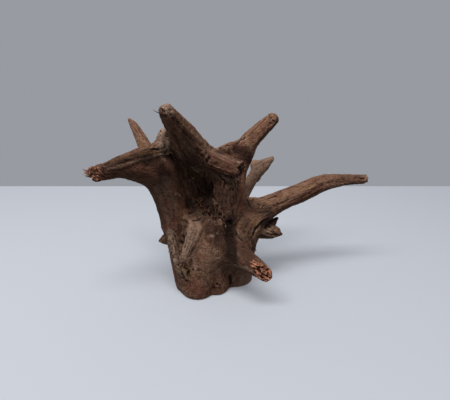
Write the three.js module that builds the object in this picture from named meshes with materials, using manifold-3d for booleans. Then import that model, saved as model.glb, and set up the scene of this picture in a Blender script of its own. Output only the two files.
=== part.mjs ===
// A dry root: one piece of weathered wood. A lobed foot opens into a fluted trunk that carries five
// broken arms and several short stubs around a deep hollow.
// Millimetres. +Z is up, +X runs towards the longest arm and -Y is the front. The foot rests on Z = 0.

import * as THREE from 'three';
import { mergeVertices } from 'three/addons/utils/BufferGeometryUtils.js';
import Module from 'manifold-3d';

const wasm = await Module();
wasm.setup();

// Driving dimensions
const SUNK = 6; // how far the strands run below the ground before the foot is cut flat
const RING_SPACING = 10; // between two sections of a strand
const SIDES = 11; // corners of a strand's section
const SLIM_SIDES = 8; // the same, for a strand thinner than SLIM_RADIUS
const SLIM_RADIUS = 13;
const FLUTES = 3; // shallow grooves around a strand
const FLUTE_DEPTH = 0.05; // of the radius
const BARK_TWIST = 0.9; // turn of the grooves along a whole strand, radians
const END_ROUND = 0.35; // length of a strand's rounded end, of its radius

const WOOD = new THREE.MeshStandardMaterial({ color: 0x6a5245, roughness: 0.9, metalness: 0 });

// Each strand is a list of [x, y, z, radius] along its centre line, chosen by hand, from the foot or
// the trunk out to the broken end.
const STRANDS = {
  // the trunk's lobed foot
  frontLobe: [[-16, -20, -SUNK, 20], [-17, -19, 14, 21.5], [-19, -12, 50, 20]],
  middleLobe: [[6, -17, -SUNK, 15], [6, -16, 12, 16], [0, -8, 50, 18]],
  rightLobe: [[35, 5, -SUNK, 18], [35, 4, 10, 18.5], [30, 5, 30, 14]],
  backLobe: [[-4, 26, -SUNK, 24], [-4, 26, 40, 24], [-2, 22, 90, 20]],
  backFluteLeft: [[-20, 34, -SUNK, 11], [-19, 34, 26, 11], [-15, 36, 70, 9], [-12, 38, 118, 7]],
  backFluteRight: [[12, 42, -SUNK, 10], [11, 42, 24, 10.5], [7, 39, 64, 8], [4, 36, 106, 6]],

  // the trunk's front, and the walls on either side of the hollow
  belly: [[-6, -6, -SUNK, 20], [-6, -13, 37, 23.5], [-2, -14, 62, 22.5], [1, -11, 84, 18], [3, -3, 104, 14]],
  frontRidge: [[-10, -6, 98, 9.5], [-18, -16, 96, 10.5], [-21, -23, 86, 9], [-26, -28, 71, 6.5], [-31, -31, 59, 5],
    [-36, -32, 48, 3]],
  ridgeFlank: [[-5, -14, 96, 8], [-13, -20, 84, 8], [-19, -24, 68, 8], [-25, -26, 52, 8], [-27, -25, 38, 8.5],
    [-26, -22, 24, 7]],
  leftBand: [[-49, -16, 89, 6], [-44, -20, 72, 7], [-39, -24, 55, 8], [-33, -28, 38, 8.5], [-28, -28, 21, 8.5]],
  rightRibs: [[8, 0, -SUNK, 18], [12, -8, 58, 17.5], [15, -8, 90, 15.5], [16, -6, 118, 14.5], [17, -3, 139, 14],
    [12, 4, 154, 13]],
  rightCore: [[14, 12, -SUNK, 16], [8, 16, 52, 20], [14, 18, 101, 19], [19, 20, 137, 17.5], [26, 23, 159, 13.5]],
  leftWall: [[-22, 0, -SUNK, 18], [-29, -2, 47, 18], [-32, 0, 82, 15.5], [-38, 2, 115, 15], [-45, 3, 142, 13.5],
    [-49, 0, 167, 11], [-50, -3, 183, 8.5], [-49, -5, 195, 5.5]],

  // the five long arms
  leftArm: [[-30, -8, -SUNK, 16], [-30, -8, 33, 18.5], [-36, -6, 71, 18], [-43, -8, 101, 18], [-47, -11, 126, 18],
    [-53, -16, 149, 19.5], [-62, -24, 162, 19.5], [-72, -33, 166, 16], [-86, -44, 168, 10.5], [-99, -53, 166, 8],
    [-111, -61, 166, 7]],
  leftLedge: [[-86, -46, 173, 5.5], [-73, -38, 177, 6.5], [-62, -29, 178, 8.5], [-54, -12, 177.5, 10]],
  topArm: [[-6, 14, -SUNK, 26], [-12, 16, 36, 25.5], [-14, 24, 85, 23.5], [-16, 22, 127, 22.5], [-18, 12, 157, 22],
    [-22, -8, 181, 18.5], [-27, -28, 200, 13], [-31.5, -45, 213.5, 10], [-34, -58, 223.5, 7.5]],
  upperRightArm: [[20, 6, -SUNK, 20], [24, 4, 44, 17], [27, 6, 83, 14], [31, 10, 118, 11.5], [33, 16, 144, 11],
    [37, 25, 163, 14], [47, 34, 178.5, 11.5], [62, 42, 192.5, 9.5], [77, 48.5, 204, 7.5]],
  rightArm: [[26, 4, -SUNK, 18], [34, -2, 29, 18], [40, -2, 62, 18], [48, 1, 86, 18], [58, 4, 97, 16],
    [73, 8, 103, 13], [92, 12, 112, 12], [109, 15, 118, 12], [130, 19, 127, 11.5], [145, 21, 131, 9.7],
    [170, 24, 133, 6.2], [194, 26, 133.5, 5.2]],
  rightArmTop: [[31, 4, 101, 11], [43, 8, 103, 11], [58, 10, 102, 9.5], [76, 12, 109.5, 7.5], [98, 14, 120, 6]],
  backRightArm: [[12, 32, -SUNK, 20], [22, 30, 28, 19.5], [32, 34, 75, 15], [39, 48, 98, 10], [49, 64, 110, 8],
    [60.5, 76, 123.5, 8.5], [75, 86, 134, 6.8], [86, 93, 143, 2.5]],
  backLeftArm: [[-18, 24, -SUNK, 20], [-33, 18, 35, 21.5], [-41, 22, 81, 17.5], [-53, 26, 119, 15.5],
    [-69, 34, 147, 11.5], [-80, 42, 164, 9.5], [-92, 54, 183, 6.5], [-99, 60, 193, 5], [-106, 66, 201.5, 2]],

  // short broken stubs and knobs
  rightStub: [[-21, 6, 168, 15], [-5, -2, 168, 13.5], [9, -9, 166, 11.5], [23, -16, 162, 10.3],
    [34.5, -22, 159.5, 9.4]],
  lowStub: [[13, -5, 62, 18], [26, -20, 58, 16], [38, -34, 55.5, 12.5], [50.5, -45, 52.5, 10], [63, -55, 48.5, 8.2]],
  upperKnob: [[39, 29, 169, 11.5], [26, 26, 170, 9.5], [13, 22, 167, 7]],
  bladeNub: [[60, 75, 120, 7.5], [60.5, 81, 132, 6.5], [59, 84, 139, 4]],
  bladeTip: [[60, 83, 135, 5], [72, 87.5, 138, 5.5], [86, 93, 143.5, 2.5]],
  rightKnobTop: [[44, 12, 80, 15.5], [63, 18, 72, 12], [77, 21, 74, 6.5], [86, 23, 80, 1.5]],
  rightKnobLow: [[44, 12, 77, 15.5], [60, 5, 73, 11], [77, 4, 70.5, 8.5], [90, 9, 64.5, 1.5]],
  leftNub: [[-46, 8, 62, 10.5], [-59, 10, 57, 6.5], [-69, 12, 53, 1.5]],
};

// The low stub's slanting torn face: a point on it and the direction that it faces
const TORN_FACE_POINT = new THREE.Vector3(53, -54, 57);
const TORN_FACE_NORMAL = new THREE.Vector3(0.08, -0.87, 0.49).normalize();
const TORN_FACE_CUT = 60; // side of the block that is cut away there

const GROUND_CUT = 500; // side of the block that is cut away below the ground

// A tapered, fluted loft along a list of [x, y, z, radius], closed at both ends.
function strandGeometry(rows, seed) {
  const curve = new THREE.CatmullRomCurve3(rows.map(([x, y, z]) => new THREE.Vector3(x, y, z)));
  const radii = new THREE.SplineCurve(rows.map(([, , , radius], i) => new THREE.Vector2(i, radius)));
  const widest = Math.max(...rows.map((row) => row[3]));
  const sides = widest < SLIM_RADIUS ? SLIM_SIDES : SIDES;
  const segments = Math.max(3, Math.round(curve.getLength() / RING_SPACING));
  const frames = curve.computeFrenetFrames(segments, false);

  const points = [];
  const addRing = (centre, normal, binormal, radius, turn) => {
    for (let side = 0; side < sides; side++) {
      const angle = (2 * Math.PI * side) / sides;
      const flute = 1 + FLUTE_DEPTH * Math.sin(FLUTES * angle + turn);
      const point = centre.clone();
      point.addScaledVector(normal, radius * flute * Math.cos(angle));
      point.addScaledVector(binormal, radius * flute * Math.sin(angle));
      points.push(point);
    }
  };
  for (let i = 0; i <= segments; i++) {
    const u = i / segments;
    const radius = radii.getPoint(curve.getUtoTmapping(u)).y;
    addRing(curve.getPointAt(u), frames.normals[i], frames.binormals[i], radius, seed + BARK_TWIST * u);
  }

  // the outer end closes in a smaller ring, then both ends close on a middle point
  const end = rows.at(-1);
  const endTangent = frames.tangents[segments];
  const endCentre = curve.getPointAt(1).addScaledVector(endTangent, END_ROUND * end[3]);
  addRing(endCentre, frames.normals[segments], frames.binormals[segments], 0.6 * end[3], seed + BARK_TWIST);
  const rings = segments + 2;
  points.push(curve.getPointAt(0), endCentre);

  const indices = [];
  for (let ring = 0; ring < rings - 1; ring++) {
    for (let side = 0; side < sides; side++) {
      const next = (side + 1) % sides;
      const [a, b] = [ring * sides + side, ring * sides + next];
      indices.push(a, b, b + sides, a, b + sides, a + sides);
    }
  }
  const [startPoint, endPoint] = [rings * sides, rings * sides + 1];
  for (let side = 0; side < sides; side++) {
    const next = (side + 1) % sides;
    const last = (rings - 1) * sides;
    indices.push(startPoint, next, side, endPoint, last + side, last + next);
  }
  return new THREE.BufferGeometry().setFromPoints(points).setIndex(indices);
}

function toSolid(geometry) {
  const shape = geometry.clone();
  shape.deleteAttribute('normal');
  shape.deleteAttribute('uv');
  const welded = mergeVertices(shape);
  const vertProperties = new Float32Array(welded.attributes.position.array);
  const triVerts = new Uint32Array(welded.index.array);
  return new wasm.Manifold(new wasm.Mesh({ numProp: 3, vertProperties, triVerts }));
}

function toGeometry(solid) {
  const { vertProperties, triVerts } = solid.getMesh();
  const geometry = new THREE.BufferGeometry();
  geometry.setAttribute('position', new THREE.BufferAttribute(new Float32Array(vertProperties), 3));
  geometry.setIndex(new THREE.BufferAttribute(new Uint32Array(triVerts), 1));
  geometry.computeVertexNormals();
  return geometry;
}

// A block whose one face lies at a point and looks back along -direction, to cut away what is beyond it.
function blockBeyond(point, direction, size) {
  const block = new THREE.BoxGeometry(size, size, size);
  block.translate(0, 0, size / 2);
  const turn = new THREE.Quaternion().setFromUnitVectors(new THREE.Vector3(0, 0, 1), direction);
  block.applyQuaternion(turn);
  block.translate(point.x, point.y, point.z);
  return toSolid(block);
}

function dryRootGeometry() {
  const strands = Object.values(STRANDS).map((rows, i) => toSolid(strandGeometry(rows, i)));
  const grown = strands.reduce((root, strand) => root.add(strand));
  const torn = grown.subtract(blockBeyond(TORN_FACE_POINT, TORN_FACE_NORMAL, TORN_FACE_CUT));
  const down = new THREE.Vector3(0, 0, -1);
  const standing = torn.subtract(blockBeyond(new THREE.Vector3(0, 0, 0), down, GROUND_CUT));
  return toGeometry(standing);
}

const dryRoot = new THREE.Mesh(dryRootGeometry(), WOOD);
dryRoot.name = 'dry_root';

const part = new THREE.Group();
part.add(dryRoot);

export default part;
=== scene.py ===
"""The looks of a dry root: one weathered piece of driftwood, standing on its lobed foot.

The root's form is a field, the smooth union of tapered strands of wood that rise from the foot and
part into the arms. A skin is drawn through the field, and the grain, ribs, cracks and torn ends are
raised on it in coordinates that follow each strand. Lengths in the shape code are millimetres, and
become metres where a mesh is made.
"""

from __future__ import annotations

import logging
import math
from dataclasses import dataclass, field
from enum import Enum

import bpy
import numpy as np
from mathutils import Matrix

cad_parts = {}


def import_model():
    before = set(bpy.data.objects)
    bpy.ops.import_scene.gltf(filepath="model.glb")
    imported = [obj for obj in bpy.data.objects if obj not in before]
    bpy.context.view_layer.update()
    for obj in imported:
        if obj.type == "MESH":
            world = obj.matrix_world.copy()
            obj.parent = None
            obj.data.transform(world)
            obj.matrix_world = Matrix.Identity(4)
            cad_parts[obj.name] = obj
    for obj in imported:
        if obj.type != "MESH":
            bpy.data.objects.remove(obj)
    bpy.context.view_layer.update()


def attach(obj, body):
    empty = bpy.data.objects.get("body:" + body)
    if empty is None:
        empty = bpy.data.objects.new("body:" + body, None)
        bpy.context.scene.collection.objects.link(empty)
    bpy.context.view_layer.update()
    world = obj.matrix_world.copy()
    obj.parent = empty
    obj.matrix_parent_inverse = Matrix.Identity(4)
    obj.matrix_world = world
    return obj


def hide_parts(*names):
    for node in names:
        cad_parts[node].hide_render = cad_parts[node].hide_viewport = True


LOG = logging.getLogger("dry_root")

Array = np.ndarray
Row = tuple[float, float, float, float]

METRES = 0.001
NODE = "dry_root"
BODY = "root"

SKIN_SPACING = 1.32

FARTHEST = 1e9
NO_FACE = 99.0

CORNERS = np.array([(i, j, k) for i in (0, 1) for j in (0, 1) for k in (0, 1)])


def unit(vectors: Array) -> Array:
    """Divides each vector by its own length."""
    return vectors / np.maximum(np.linalg.norm(vectors, axis=-1, keepdims=True), 1e-9)


def dot(a: Array, b: Array) -> Array:
    """The dot product of two arrays of vectors, row by row."""
    return np.einsum("...i,...i->...", a, b)


def smooth_step(low: float, high: float, x: Array) -> Array:
    """Rises from 0 at low to 1 at high along 3t^2 - 2t^3; low may be above high, to fall instead."""
    t = np.clip((x - low) / (high - low), 0.0, 1.0)
    return t * t * (3.0 - 2.0 * t)


def smooth_min(a: Array, b: Array, blend: float) -> Array:
    """The lower of two distances, rounded over blend mm where they are nearly equal.

    With h = clamp(1/2 + (b - a) / (2 blend)), it is b(1 - h) + a h - blend h(1 - h).
    """
    h = np.clip(0.5 + 0.5 * (b - a) / blend, 0.0, 1.0)
    return b * (1.0 - h) + a * h - blend * h * (1.0 - h)


class GradientNoise:
    """Smooth random noise in three dimensions, about -1 to 1, the same on each run for one seed."""

    TABLE = 256
    GAIN = 1.7
    OCTAVE_SHIFT = 17.3

    def __init__(self, seed: int) -> None:
        """Draws the lattice's order and its gradient directions.

        Args:
            seed: Chooses the pattern.
        """
        random = np.random.default_rng(seed)
        self.order = random.permutation(self.TABLE)
        self.gradients = unit(random.normal(size=(self.TABLE, 3)))

    def __call__(self, points: Array) -> Array:
        """The noise at each point: corner gradients dotted with the offsets, blended by a quintic fade.

        Args:
            points: Rows of three coordinates, one unit to a lattice cell.

        Returns:
            One value for each row.
        """
        cell = np.floor(points).astype(np.int64)
        offset = points - cell
        fade = offset ** 3 * (offset * (offset * 6.0 - 15.0) + 10.0)
        wrap = self.TABLE - 1
        total = np.zeros(len(points))
        for corner in CORNERS:
            near = cell + corner
            key = self.order[near[:, 0] & wrap]
            key = self.order[(key + near[:, 1]) & wrap]
            key = self.order[(key + near[:, 2]) & wrap]
            weight = np.where(corner, fade, 1.0 - fade).prod(axis=1)
            total += weight * dot(offset - corner, self.gradients[key])
        return total * self.GAIN

    def layers(self, points: Array, octaves: int, fall: float = 0.5) -> Array:
        """A sum of the noise at doubling frequencies, each fall times as strong as the one before.

        Args:
            points: Rows of three coordinates.
            octaves: How many frequencies there are.
            fall: How the strength changes from one to the next.

        Returns:
            One value for each row.
        """
        total = np.zeros(len(points))
        strength = 1.0
        for octave in range(octaves):
            total += strength * self(points * 2.0 ** octave + self.OCTAVE_SHIFT * octave)
            strength *= fall
        return total


class End(Enum):
    """How a strand of wood ends."""

    ROUNDED = "worn round"
    SNAPPED = "broken across, with ragged fibres"


@dataclass
class Strand:
    """A tapered strand of wood along a given centre line.

    Attributes:
        rows: Points (x, y, z, radius) along the centre line, in millimetres, from the trunk outwards.
        blend: How widely the strand melts into its neighbours.
        width: The section's width over its thickness.
        turn: Where the section is widest, in degrees around the strand's own grain frame.
        end: How the outer end looks.
        ribs: How strongly it is ribbed along the grain.
        rough: How crumbly it is.
        red: How reddish it is.
        pale: How bleached it is.
        rag: How far the splinters of a snapped end stand out.
        fresh: How fresh and orange the snapped face is.
        face: The outward direction of a slanting snapped end; a square one has none.
        face_at: A point on a slanting snapped end.
    """

    rows: list[Row]
    blend: float = 6.0
    width: float = 1.0
    turn: float = 0.0
    ribs: float = 0.4
    rough: float = 0.1
    red: float = 0.2
    pale: float = 0.2
    end: End = End.ROUNDED
    rag: float = 2.0
    fresh: float = 0.0
    face: tuple[float, float, float] | None = None
    face_at: tuple[float, float, float] | None = None

    STEP = 4.0
    THINNEST = 0.3
    SPLINTER = (2.4, 2.4, 40.0)
    FINER = 2.1
    END_REACH = 30.0

    def __post_init__(self) -> None:
        """Draws the centre line through the rows and carries the grain frame along it."""
        path = self.centre_line()
        self.centre = path[:, :3]
        self.radius = np.maximum(path[:, 3], self.THINNEST)
        spans = np.diff(self.centre, axis=0)
        self.span = np.linalg.norm(spans, axis=1)
        self.along = self.centre[0, 2] + np.concatenate([[0.0], np.cumsum(self.span)])
        self.tangent = self.mean_tangents(unit(spans))
        self.side_a, self.side_b = self.grain_frame()
        reach = self.radius.max() * max(self.width, 1.0) + self.rag
        self.low = self.centre.min(axis=0) - reach
        self.high = self.centre.max(axis=0) + reach
        if self.face is None:
            self.face_normal = self.tangent[-1]
            self.face_point = self.centre[-1]
        else:
            self.face_normal = unit(np.array(self.face))
            self.face_point = np.array(self.face_at)

    def centre_line(self) -> Array:
        """A Catmull-Rom curve through the rows, cut into steps of about STEP mm.

        Returns:
            Rows of x, y, z and radius.
        """
        rows = np.array(self.rows, dtype=float)
        p = np.vstack([2.0 * rows[0] - rows[1], rows, 2.0 * rows[-1] - rows[-2]])
        pieces = []
        for i in range(1, len(p) - 2):
            a, b, c, d = p[i - 1:i + 3]
            count = max(2, math.ceil(np.linalg.norm((c - b)[:3]) / self.STEP))
            t = np.linspace(0.0, 1.0, count, endpoint=False)[:, None]
            bend = 2.0 * a - 5.0 * b + 4.0 * c - d
            twist = 3.0 * b - a - 3.0 * c + d
            pieces.append(0.5 * (2.0 * b + (c - a) * t + bend * t ** 2 + twist * t ** 3))
        return np.concatenate(pieces + [rows[-1:]])

    @staticmethod
    def mean_tangents(spans: Array) -> Array:
        """The direction at each point of the centre line: the mean of the spans that meet there."""
        return unit(np.vstack([spans[:1], spans[:-1] + spans[1:], spans[-1:]]))

    def grain_frame(self) -> tuple[Array, Array]:
        """Two directions across the strand, carried along it without turning.

        They start as the world's X and Y, tipped by the smallest turn that takes +Z to the strand's
        own direction, so strands that rise side by side from the foot share one grain.

        Returns:
            Both directions at each point of the centre line.
        """
        start = self.tangent[0]
        axis = np.cross([0.0, 0.0, 1.0], start)
        x = np.array([1.0, 0.0, 0.0])
        tipped = x + np.cross(axis, x) + np.cross(axis, np.cross(axis, x)) / (1.0 + start[2] + 1e-6)
        side_a = [unit(tipped - dot(tipped, start) * start)]
        for tangent in self.tangent[1:]:
            carried = side_a[-1] - dot(side_a[-1], tangent) * tangent
            side_a.append(unit(carried))
        side_a = np.array(side_a)
        return side_a, np.cross(self.tangent, side_a)

    def near(self, points: Array, reach: float) -> Array:
        """The row numbers of the points within reach mm of the strand's box."""
        inside = np.all((points > self.low - reach) & (points < self.high + reach), axis=1)
        return inside.nonzero()[0]

    def measure(self, points: Array, noise: GradientNoise) -> tuple[Array, Array, Array]:
        """How far points are from the strand's surface, and where they lie in its grain.

        The nearest span of the centre line gives each point its place along the strand. The
        distance is that from the centre line less the radius there. A wide section is an ellipse,
        for which f(f - 1) / |grad f| stands in for the distance, with f the scaled distance from
        the centre line. A snapped end is the greater of this and the height over a ragged plane.

        Args:
            points: Rows of x, y, z in millimetres.
            noise: Raises the splinters of a snapped end.

        Returns:
            The signed distances, the grain coordinates (across, across, along), and how far each
            point is inside the snapped face, which is large where there is none.
        """
        nearest = np.full(len(points), FARTHEST)
        index = np.zeros(len(points), dtype=int)
        share = np.zeros(len(points))
        for i, span in enumerate(self.span):
            step = self.centre[i + 1] - self.centre[i]
            t = np.clip((points - self.centre[i]) @ step / span ** 2, 0.0, 1.0)
            gap = points - self.centre[i] - t[:, None] * step
            away = np.sqrt(dot(gap, gap)) - self.radius[i] * (1.0 - t) - self.radius[i + 1] * t
            closer = away < nearest
            nearest[closer] = away[closer]
            index[closer] = i
            share[closer] = t[closer]
        t = share[:, None]
        offset = points - self.centre[index] * (1.0 - t) - self.centre[index + 1] * t
        radius = self.radius[index] * (1.0 - share) + self.radius[index + 1] * share
        a = dot(offset, unit(self.side_a[index] * (1.0 - t) + self.side_a[index + 1] * t))
        b = dot(offset, unit(self.side_b[index] * (1.0 - t) + self.side_b[index + 1] * t))
        c = dot(offset, unit(self.tangent[index] * (1.0 - t) + self.tangent[index + 1] * t))
        distance = nearest
        if self.width != 1.0:
            distance = self.oval_distance(a, b, c, radius)
        along = self.along[index] * (1.0 - share) + self.along[index + 1] * share + c
        grain = np.stack([self.centre[0, 0] + a, self.centre[0, 1] + b, along], axis=1)
        depth = np.full(len(points), NO_FACE)
        if self.end is End.SNAPPED:
            close = (self.along[-1] - along < self.END_REACH).nonzero()[0]
            height = (points[close] - self.face_point) @ self.face_normal
            across = grain[close] / self.SPLINTER
            splinters = self.rag * (noise(across) + 0.5 * noise(across * self.FINER))
            depth[close] = splinters - height
            distance[close] = np.maximum(distance[close], -depth[close])
        return distance, grain, depth

    def oval_distance(self, a: Array, b: Array, c: Array, radius: Array) -> Array:
        """The distance from a section that is width times as wide as it is thick.

        Args:
            a: The offset along the first direction of the grain frame.
            b: The offset along the second.
            c: The offset along the strand.
            radius: Half the section's thickness.

        Returns:
            The signed distances.
        """
        angle = math.radians(self.turn)
        wide = a * math.cos(angle) + b * math.sin(angle)
        thin = b * math.cos(angle) - a * math.sin(angle)
        scaled = np.stack([wide / (radius * self.width), thin / radius, c / radius], axis=1)
        steep = scaled / np.stack([radius * self.width, radius, radius], axis=1)
        f = np.sqrt(dot(scaled, scaled))
        slope = np.maximum(np.sqrt(dot(steep, steep)), 1e-6)
        return np.where(f < 0.05, -radius, f * (f - 1.0) / slope)


# The strands from the foot upwards. Each is a list of given rows, as in the construction model.
FOOT_AND_TRUNK = [
    Strand([(-16, -20, -8, 20), (-17, -19, 14, 21.5), (-19, -12, 50, 20)], blend=7, ribs=0.2, red=0.7),
    Strand([(6, -17, -8, 15), (6, -16, 12, 16), (0, -8, 50, 18)], blend=3, ribs=0.25, red=0.5),
    Strand([(35, 5, -8, 18), (35, 4, 10, 18.5), (32, 5, 26, 14)], blend=4, ribs=0.2, red=0.6, pale=1.0),
    Strand([(-4, 26, -8, 24), (-4, 26, 40, 24), (-2, 22, 90, 20)], blend=8, ribs=0.7),
    Strand([(-20, 34, -8, 11), (-19, 34, 26, 11), (-15, 36, 70, 9), (-12, 38, 118, 7)], blend=5, ribs=0.6),
    Strand([(12, 42, -8, 10), (11, 42, 24, 10.5), (7, 39, 64, 8), (4, 36, 106, 6)],
           blend=5, ribs=0.6, red=0.6),
    Strand([(-6, -6, -6, 20), (-6, -13, 37, 23.5), (-2, -14, 62, 22.5), (1, -11, 84, 18),
            (3, -3, 104, 14)], blend=7, ribs=0.2, red=0.3, pale=0.1),
    Strand([(-10, -6, 98, 10), (-18, -16, 97, 10.5), (-21, -23, 86, 9), (-26, -28, 71, 6),
            (-31, -31, 59, 5), (-36, -32, 48, 3)], blend=8, ribs=0.3, pale=0.4),
    Strand([(-5, -14, 96, 8), (-13, -20, 84, 8), (-19, -24, 68, 8), (-25, -26, 52, 8), (-27, -25, 38, 8.5),
            (-26, -22, 24, 7)], blend=10, ribs=0.2),
    Strand([(-49, -16, 89, 6), (-44, -20, 72, 7), (-39, -24, 55, 8), (-33, -28, 38, 8.5),
            (-28, -28, 21, 8.5)], blend=4, ribs=1.1, rough=0.3, pale=0.7),
    Strand([(8, 0, -6, 18), (12, -8, 58, 17.5), (15, -8, 90, 15.5), (16, -6, 118, 14.5),
            (17, -3, 139, 14), (12, 4, 154, 13)], blend=10, ribs=0.56, rough=0.25, pale=-0.35),
    Strand([(14, 12, -6, 16), (8, 16, 52, 20), (14, 18, 101, 19), (19, 20, 137, 17.5),
            (26, 23, 159, 13.5)], blend=6, ribs=0.8),
    Strand([(-22, 0, -6, 18), (-29, -2, 47, 18), (-32, 0, 82, 15), (-38, 2, 115, 15),
            (-45, 3, 142, 13.5), (-49, 0, 167, 11), (-50, -3, 183, 8.5), (-49, -5, 195, 5.5)],
           blend=9, ribs=0.56, rough=0.15, red=0.45, pale=0.15),
]

ARMS = [
    Strand([(-30, -8, -6, 16), (-30, -8, 33, 18.5), (-36, -6, 71, 18), (-43, -8, 101, 18),
            (-47, -11, 126, 18), (-53, -16, 149, 19.5), (-62, -24, 162, 19.5), (-72, -33, 166, 16),
            (-86, -44, 168, 10.5), (-99, -53, 166, 8), (-117, -66, 166, 6.6)],
           blend=12, ribs=0.25, red=0.5, pale=-0.5, end=End.SNAPPED, rag=2.5, fresh=0.7,
           face=(-0.4, -0.9, -0.05), face_at=(-107, -59, 166)),
    Strand([(-98, -54, 170, 3.5), (-86, -48, 173.5, 5), (-73, -40, 177.5, 6.5), (-62, -31, 179, 8),
            (-54, -14, 178.5, 10)], blend=6, ribs=0.5, rough=0.1, pale=-0.4),
    Strand([(-6, 14, -6, 26), (-12, 16, 36, 25.5), (-14, 24, 85, 23.5), (-16, 22, 127, 22.5),
            (-18, 12, 157, 22), (-22, -8, 181, 18.5), (-27, -28, 200, 13), (-31.5, -45, 213.5, 10),
            (-34, -58, 222.5, 7.6)], blend=12, ribs=0.46, rough=0.2, red=0.4),
    Strand([(20, 6, -6, 20), (24, 4, 44, 17), (27, 6, 83, 14), (31, 10, 118, 11.5),
            (33, 16, 144, 11), (37, 25, 163, 14), (47, 34, 178.5, 11.5), (62, 42, 192.5, 9.5),
            (75.5, 48, 203, 7.5)], blend=7, ribs=0.25, rough=0.05, pale=0.1),
    Strand([(26, 4, -6, 18), (34, -2, 29, 18), (40, -2, 62, 18), (48, 1, 86, 18), (58, 4, 97, 16),
            (73, 8, 103, 13), (92, 12, 112, 12), (109, 15, 118, 12), (130, 19, 127, 11.5),
            (145, 21, 131, 9.7), (170, 24, 133, 6.2), (194, 26, 133.5, 5.2)],
           blend=7, ribs=0.3, rough=0.05, pale=0.15, end=End.SNAPPED, rag=1.0, fresh=0.1),
    Strand([(31, 4, 101, 11), (43, 8, 103, 11), (58, 10, 102, 9.5), (76, 12, 109.5, 7.5),
            (98, 14, 120, 6)], blend=5, ribs=0.45, rough=0.2, pale=-0.1),
    Strand([(12, 32, -6, 20), (22, 30, 28, 19.5), (32, 34, 75, 15), (39, 48, 98, 9.5),
            (49, 64, 110, 8), (60.5, 76, 123.5, 8.5), (75, 86, 134, 6.8), (85, 93, 142, 2.5)],
           blend=6, ribs=0.06, rough=0.0, pale=0.6),
    Strand([(-18, 24, -6, 20), (-33, 18, 35, 21.5), (-41, 22, 81, 17.5), (-53, 26, 119, 15.5),
            (-69, 34, 147, 11.5), (-80, 42, 164, 9.5), (-92, 54, 183, 6.5), (-99, 60, 193, 5),
            (-106, 66, 201, 2)], blend=6, ribs=0.2, rough=0.05, pale=0.15),
]

STUBS = [
    Strand([(-21, 6, 168, 15), (-5, -2, 168, 13.5), (9, -9, 166, 11.5), (23, -16, 162, 10.3),
            (34.5, -22, 159.5, 9.4)], blend=8, ribs=0.45, rough=0.2, pale=-0.8, end=End.SNAPPED, rag=1.2),
    Strand([(14, -6, 62, 15), (26, -21, 58, 16), (38, -34, 55.5, 12.5), (50.5, -45, 52.5, 10),
            (62, -54, 48.5, 8.2)], blend=15, ribs=0.2, rough=0.05, red=0.0, pale=-0.8,
           end=End.SNAPPED, rag=1.8, fresh=1.0,
           face=(0.08, -0.87, 0.49), face_at=(53, -54, 57)),
    Strand([(39, 29, 169, 11.5), (26, 26, 170, 9.5), (13, 22, 167, 7)], blend=4, rough=0.7, red=0.6),
    Strand([(60, 76, 120, 7), (60.5, 81, 132, 6.5), (58.8, 84, 138, 4.8)], blend=3, ribs=0.1, pale=0.8),
    Strand([(60, 84, 136, 5), (72, 88, 138, 5.5), (86, 93, 143.5, 2.8)], blend=3, ribs=0.1, pale=0.8),
    Strand([(44, 12, 80, 15.5), (63, 18, 72, 12), (77, 21, 74, 6.5), (86, 23, 80, 1.5)],
           blend=4, ribs=0.5, rough=0.3, red=0.7),
    Strand([(44, 12, 77, 15.5), (60, 5, 73, 11), (77, 4, 70.5, 8.5), (90, 9, 64.5, 1.5)],
           blend=3, ribs=0.4, rough=0.15, pale=0.3),
    Strand([(-46, 8, 62, 10.5), (-59, 10, 57, 6.5), (-69, 12, 53, 1)], blend=3, red=0.6),
]

GROOVES = [
    Strand([(-9, -26, 104, 6), (-11, -18, 114, 11), (-15, -12, 130, 15), (-18, -11, 146, 13),
            (-21, -16, 156, 8)], blend=14),
    Strand([(-25, -8, 111, 4), (-17, -9, 109, 6), (-9, -12, 109, 7), (-1, -18, 109, 7.5), (6, -24, 106, 6.5),
            (11, -29, 101, 4)], blend=5),
]


@dataclass
class Wood:
    """The wood's grain and character at each point of the skin.

    Attributes:
        grain: Coordinates (across, across, along) in millimetres.
        ribs: How strongly it is ribbed.
        rough: How crumbly it is.
        red: How reddish it is.
        pale: How bleached it is.
        under: The depth below a snapped face, large where there is none.
        fresh: How fresh the nearest snapped face is.
    """

    grain: Array
    ribs: Array
    rough: Array
    red: Array
    pale: Array
    under: Array
    fresh: Array


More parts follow.
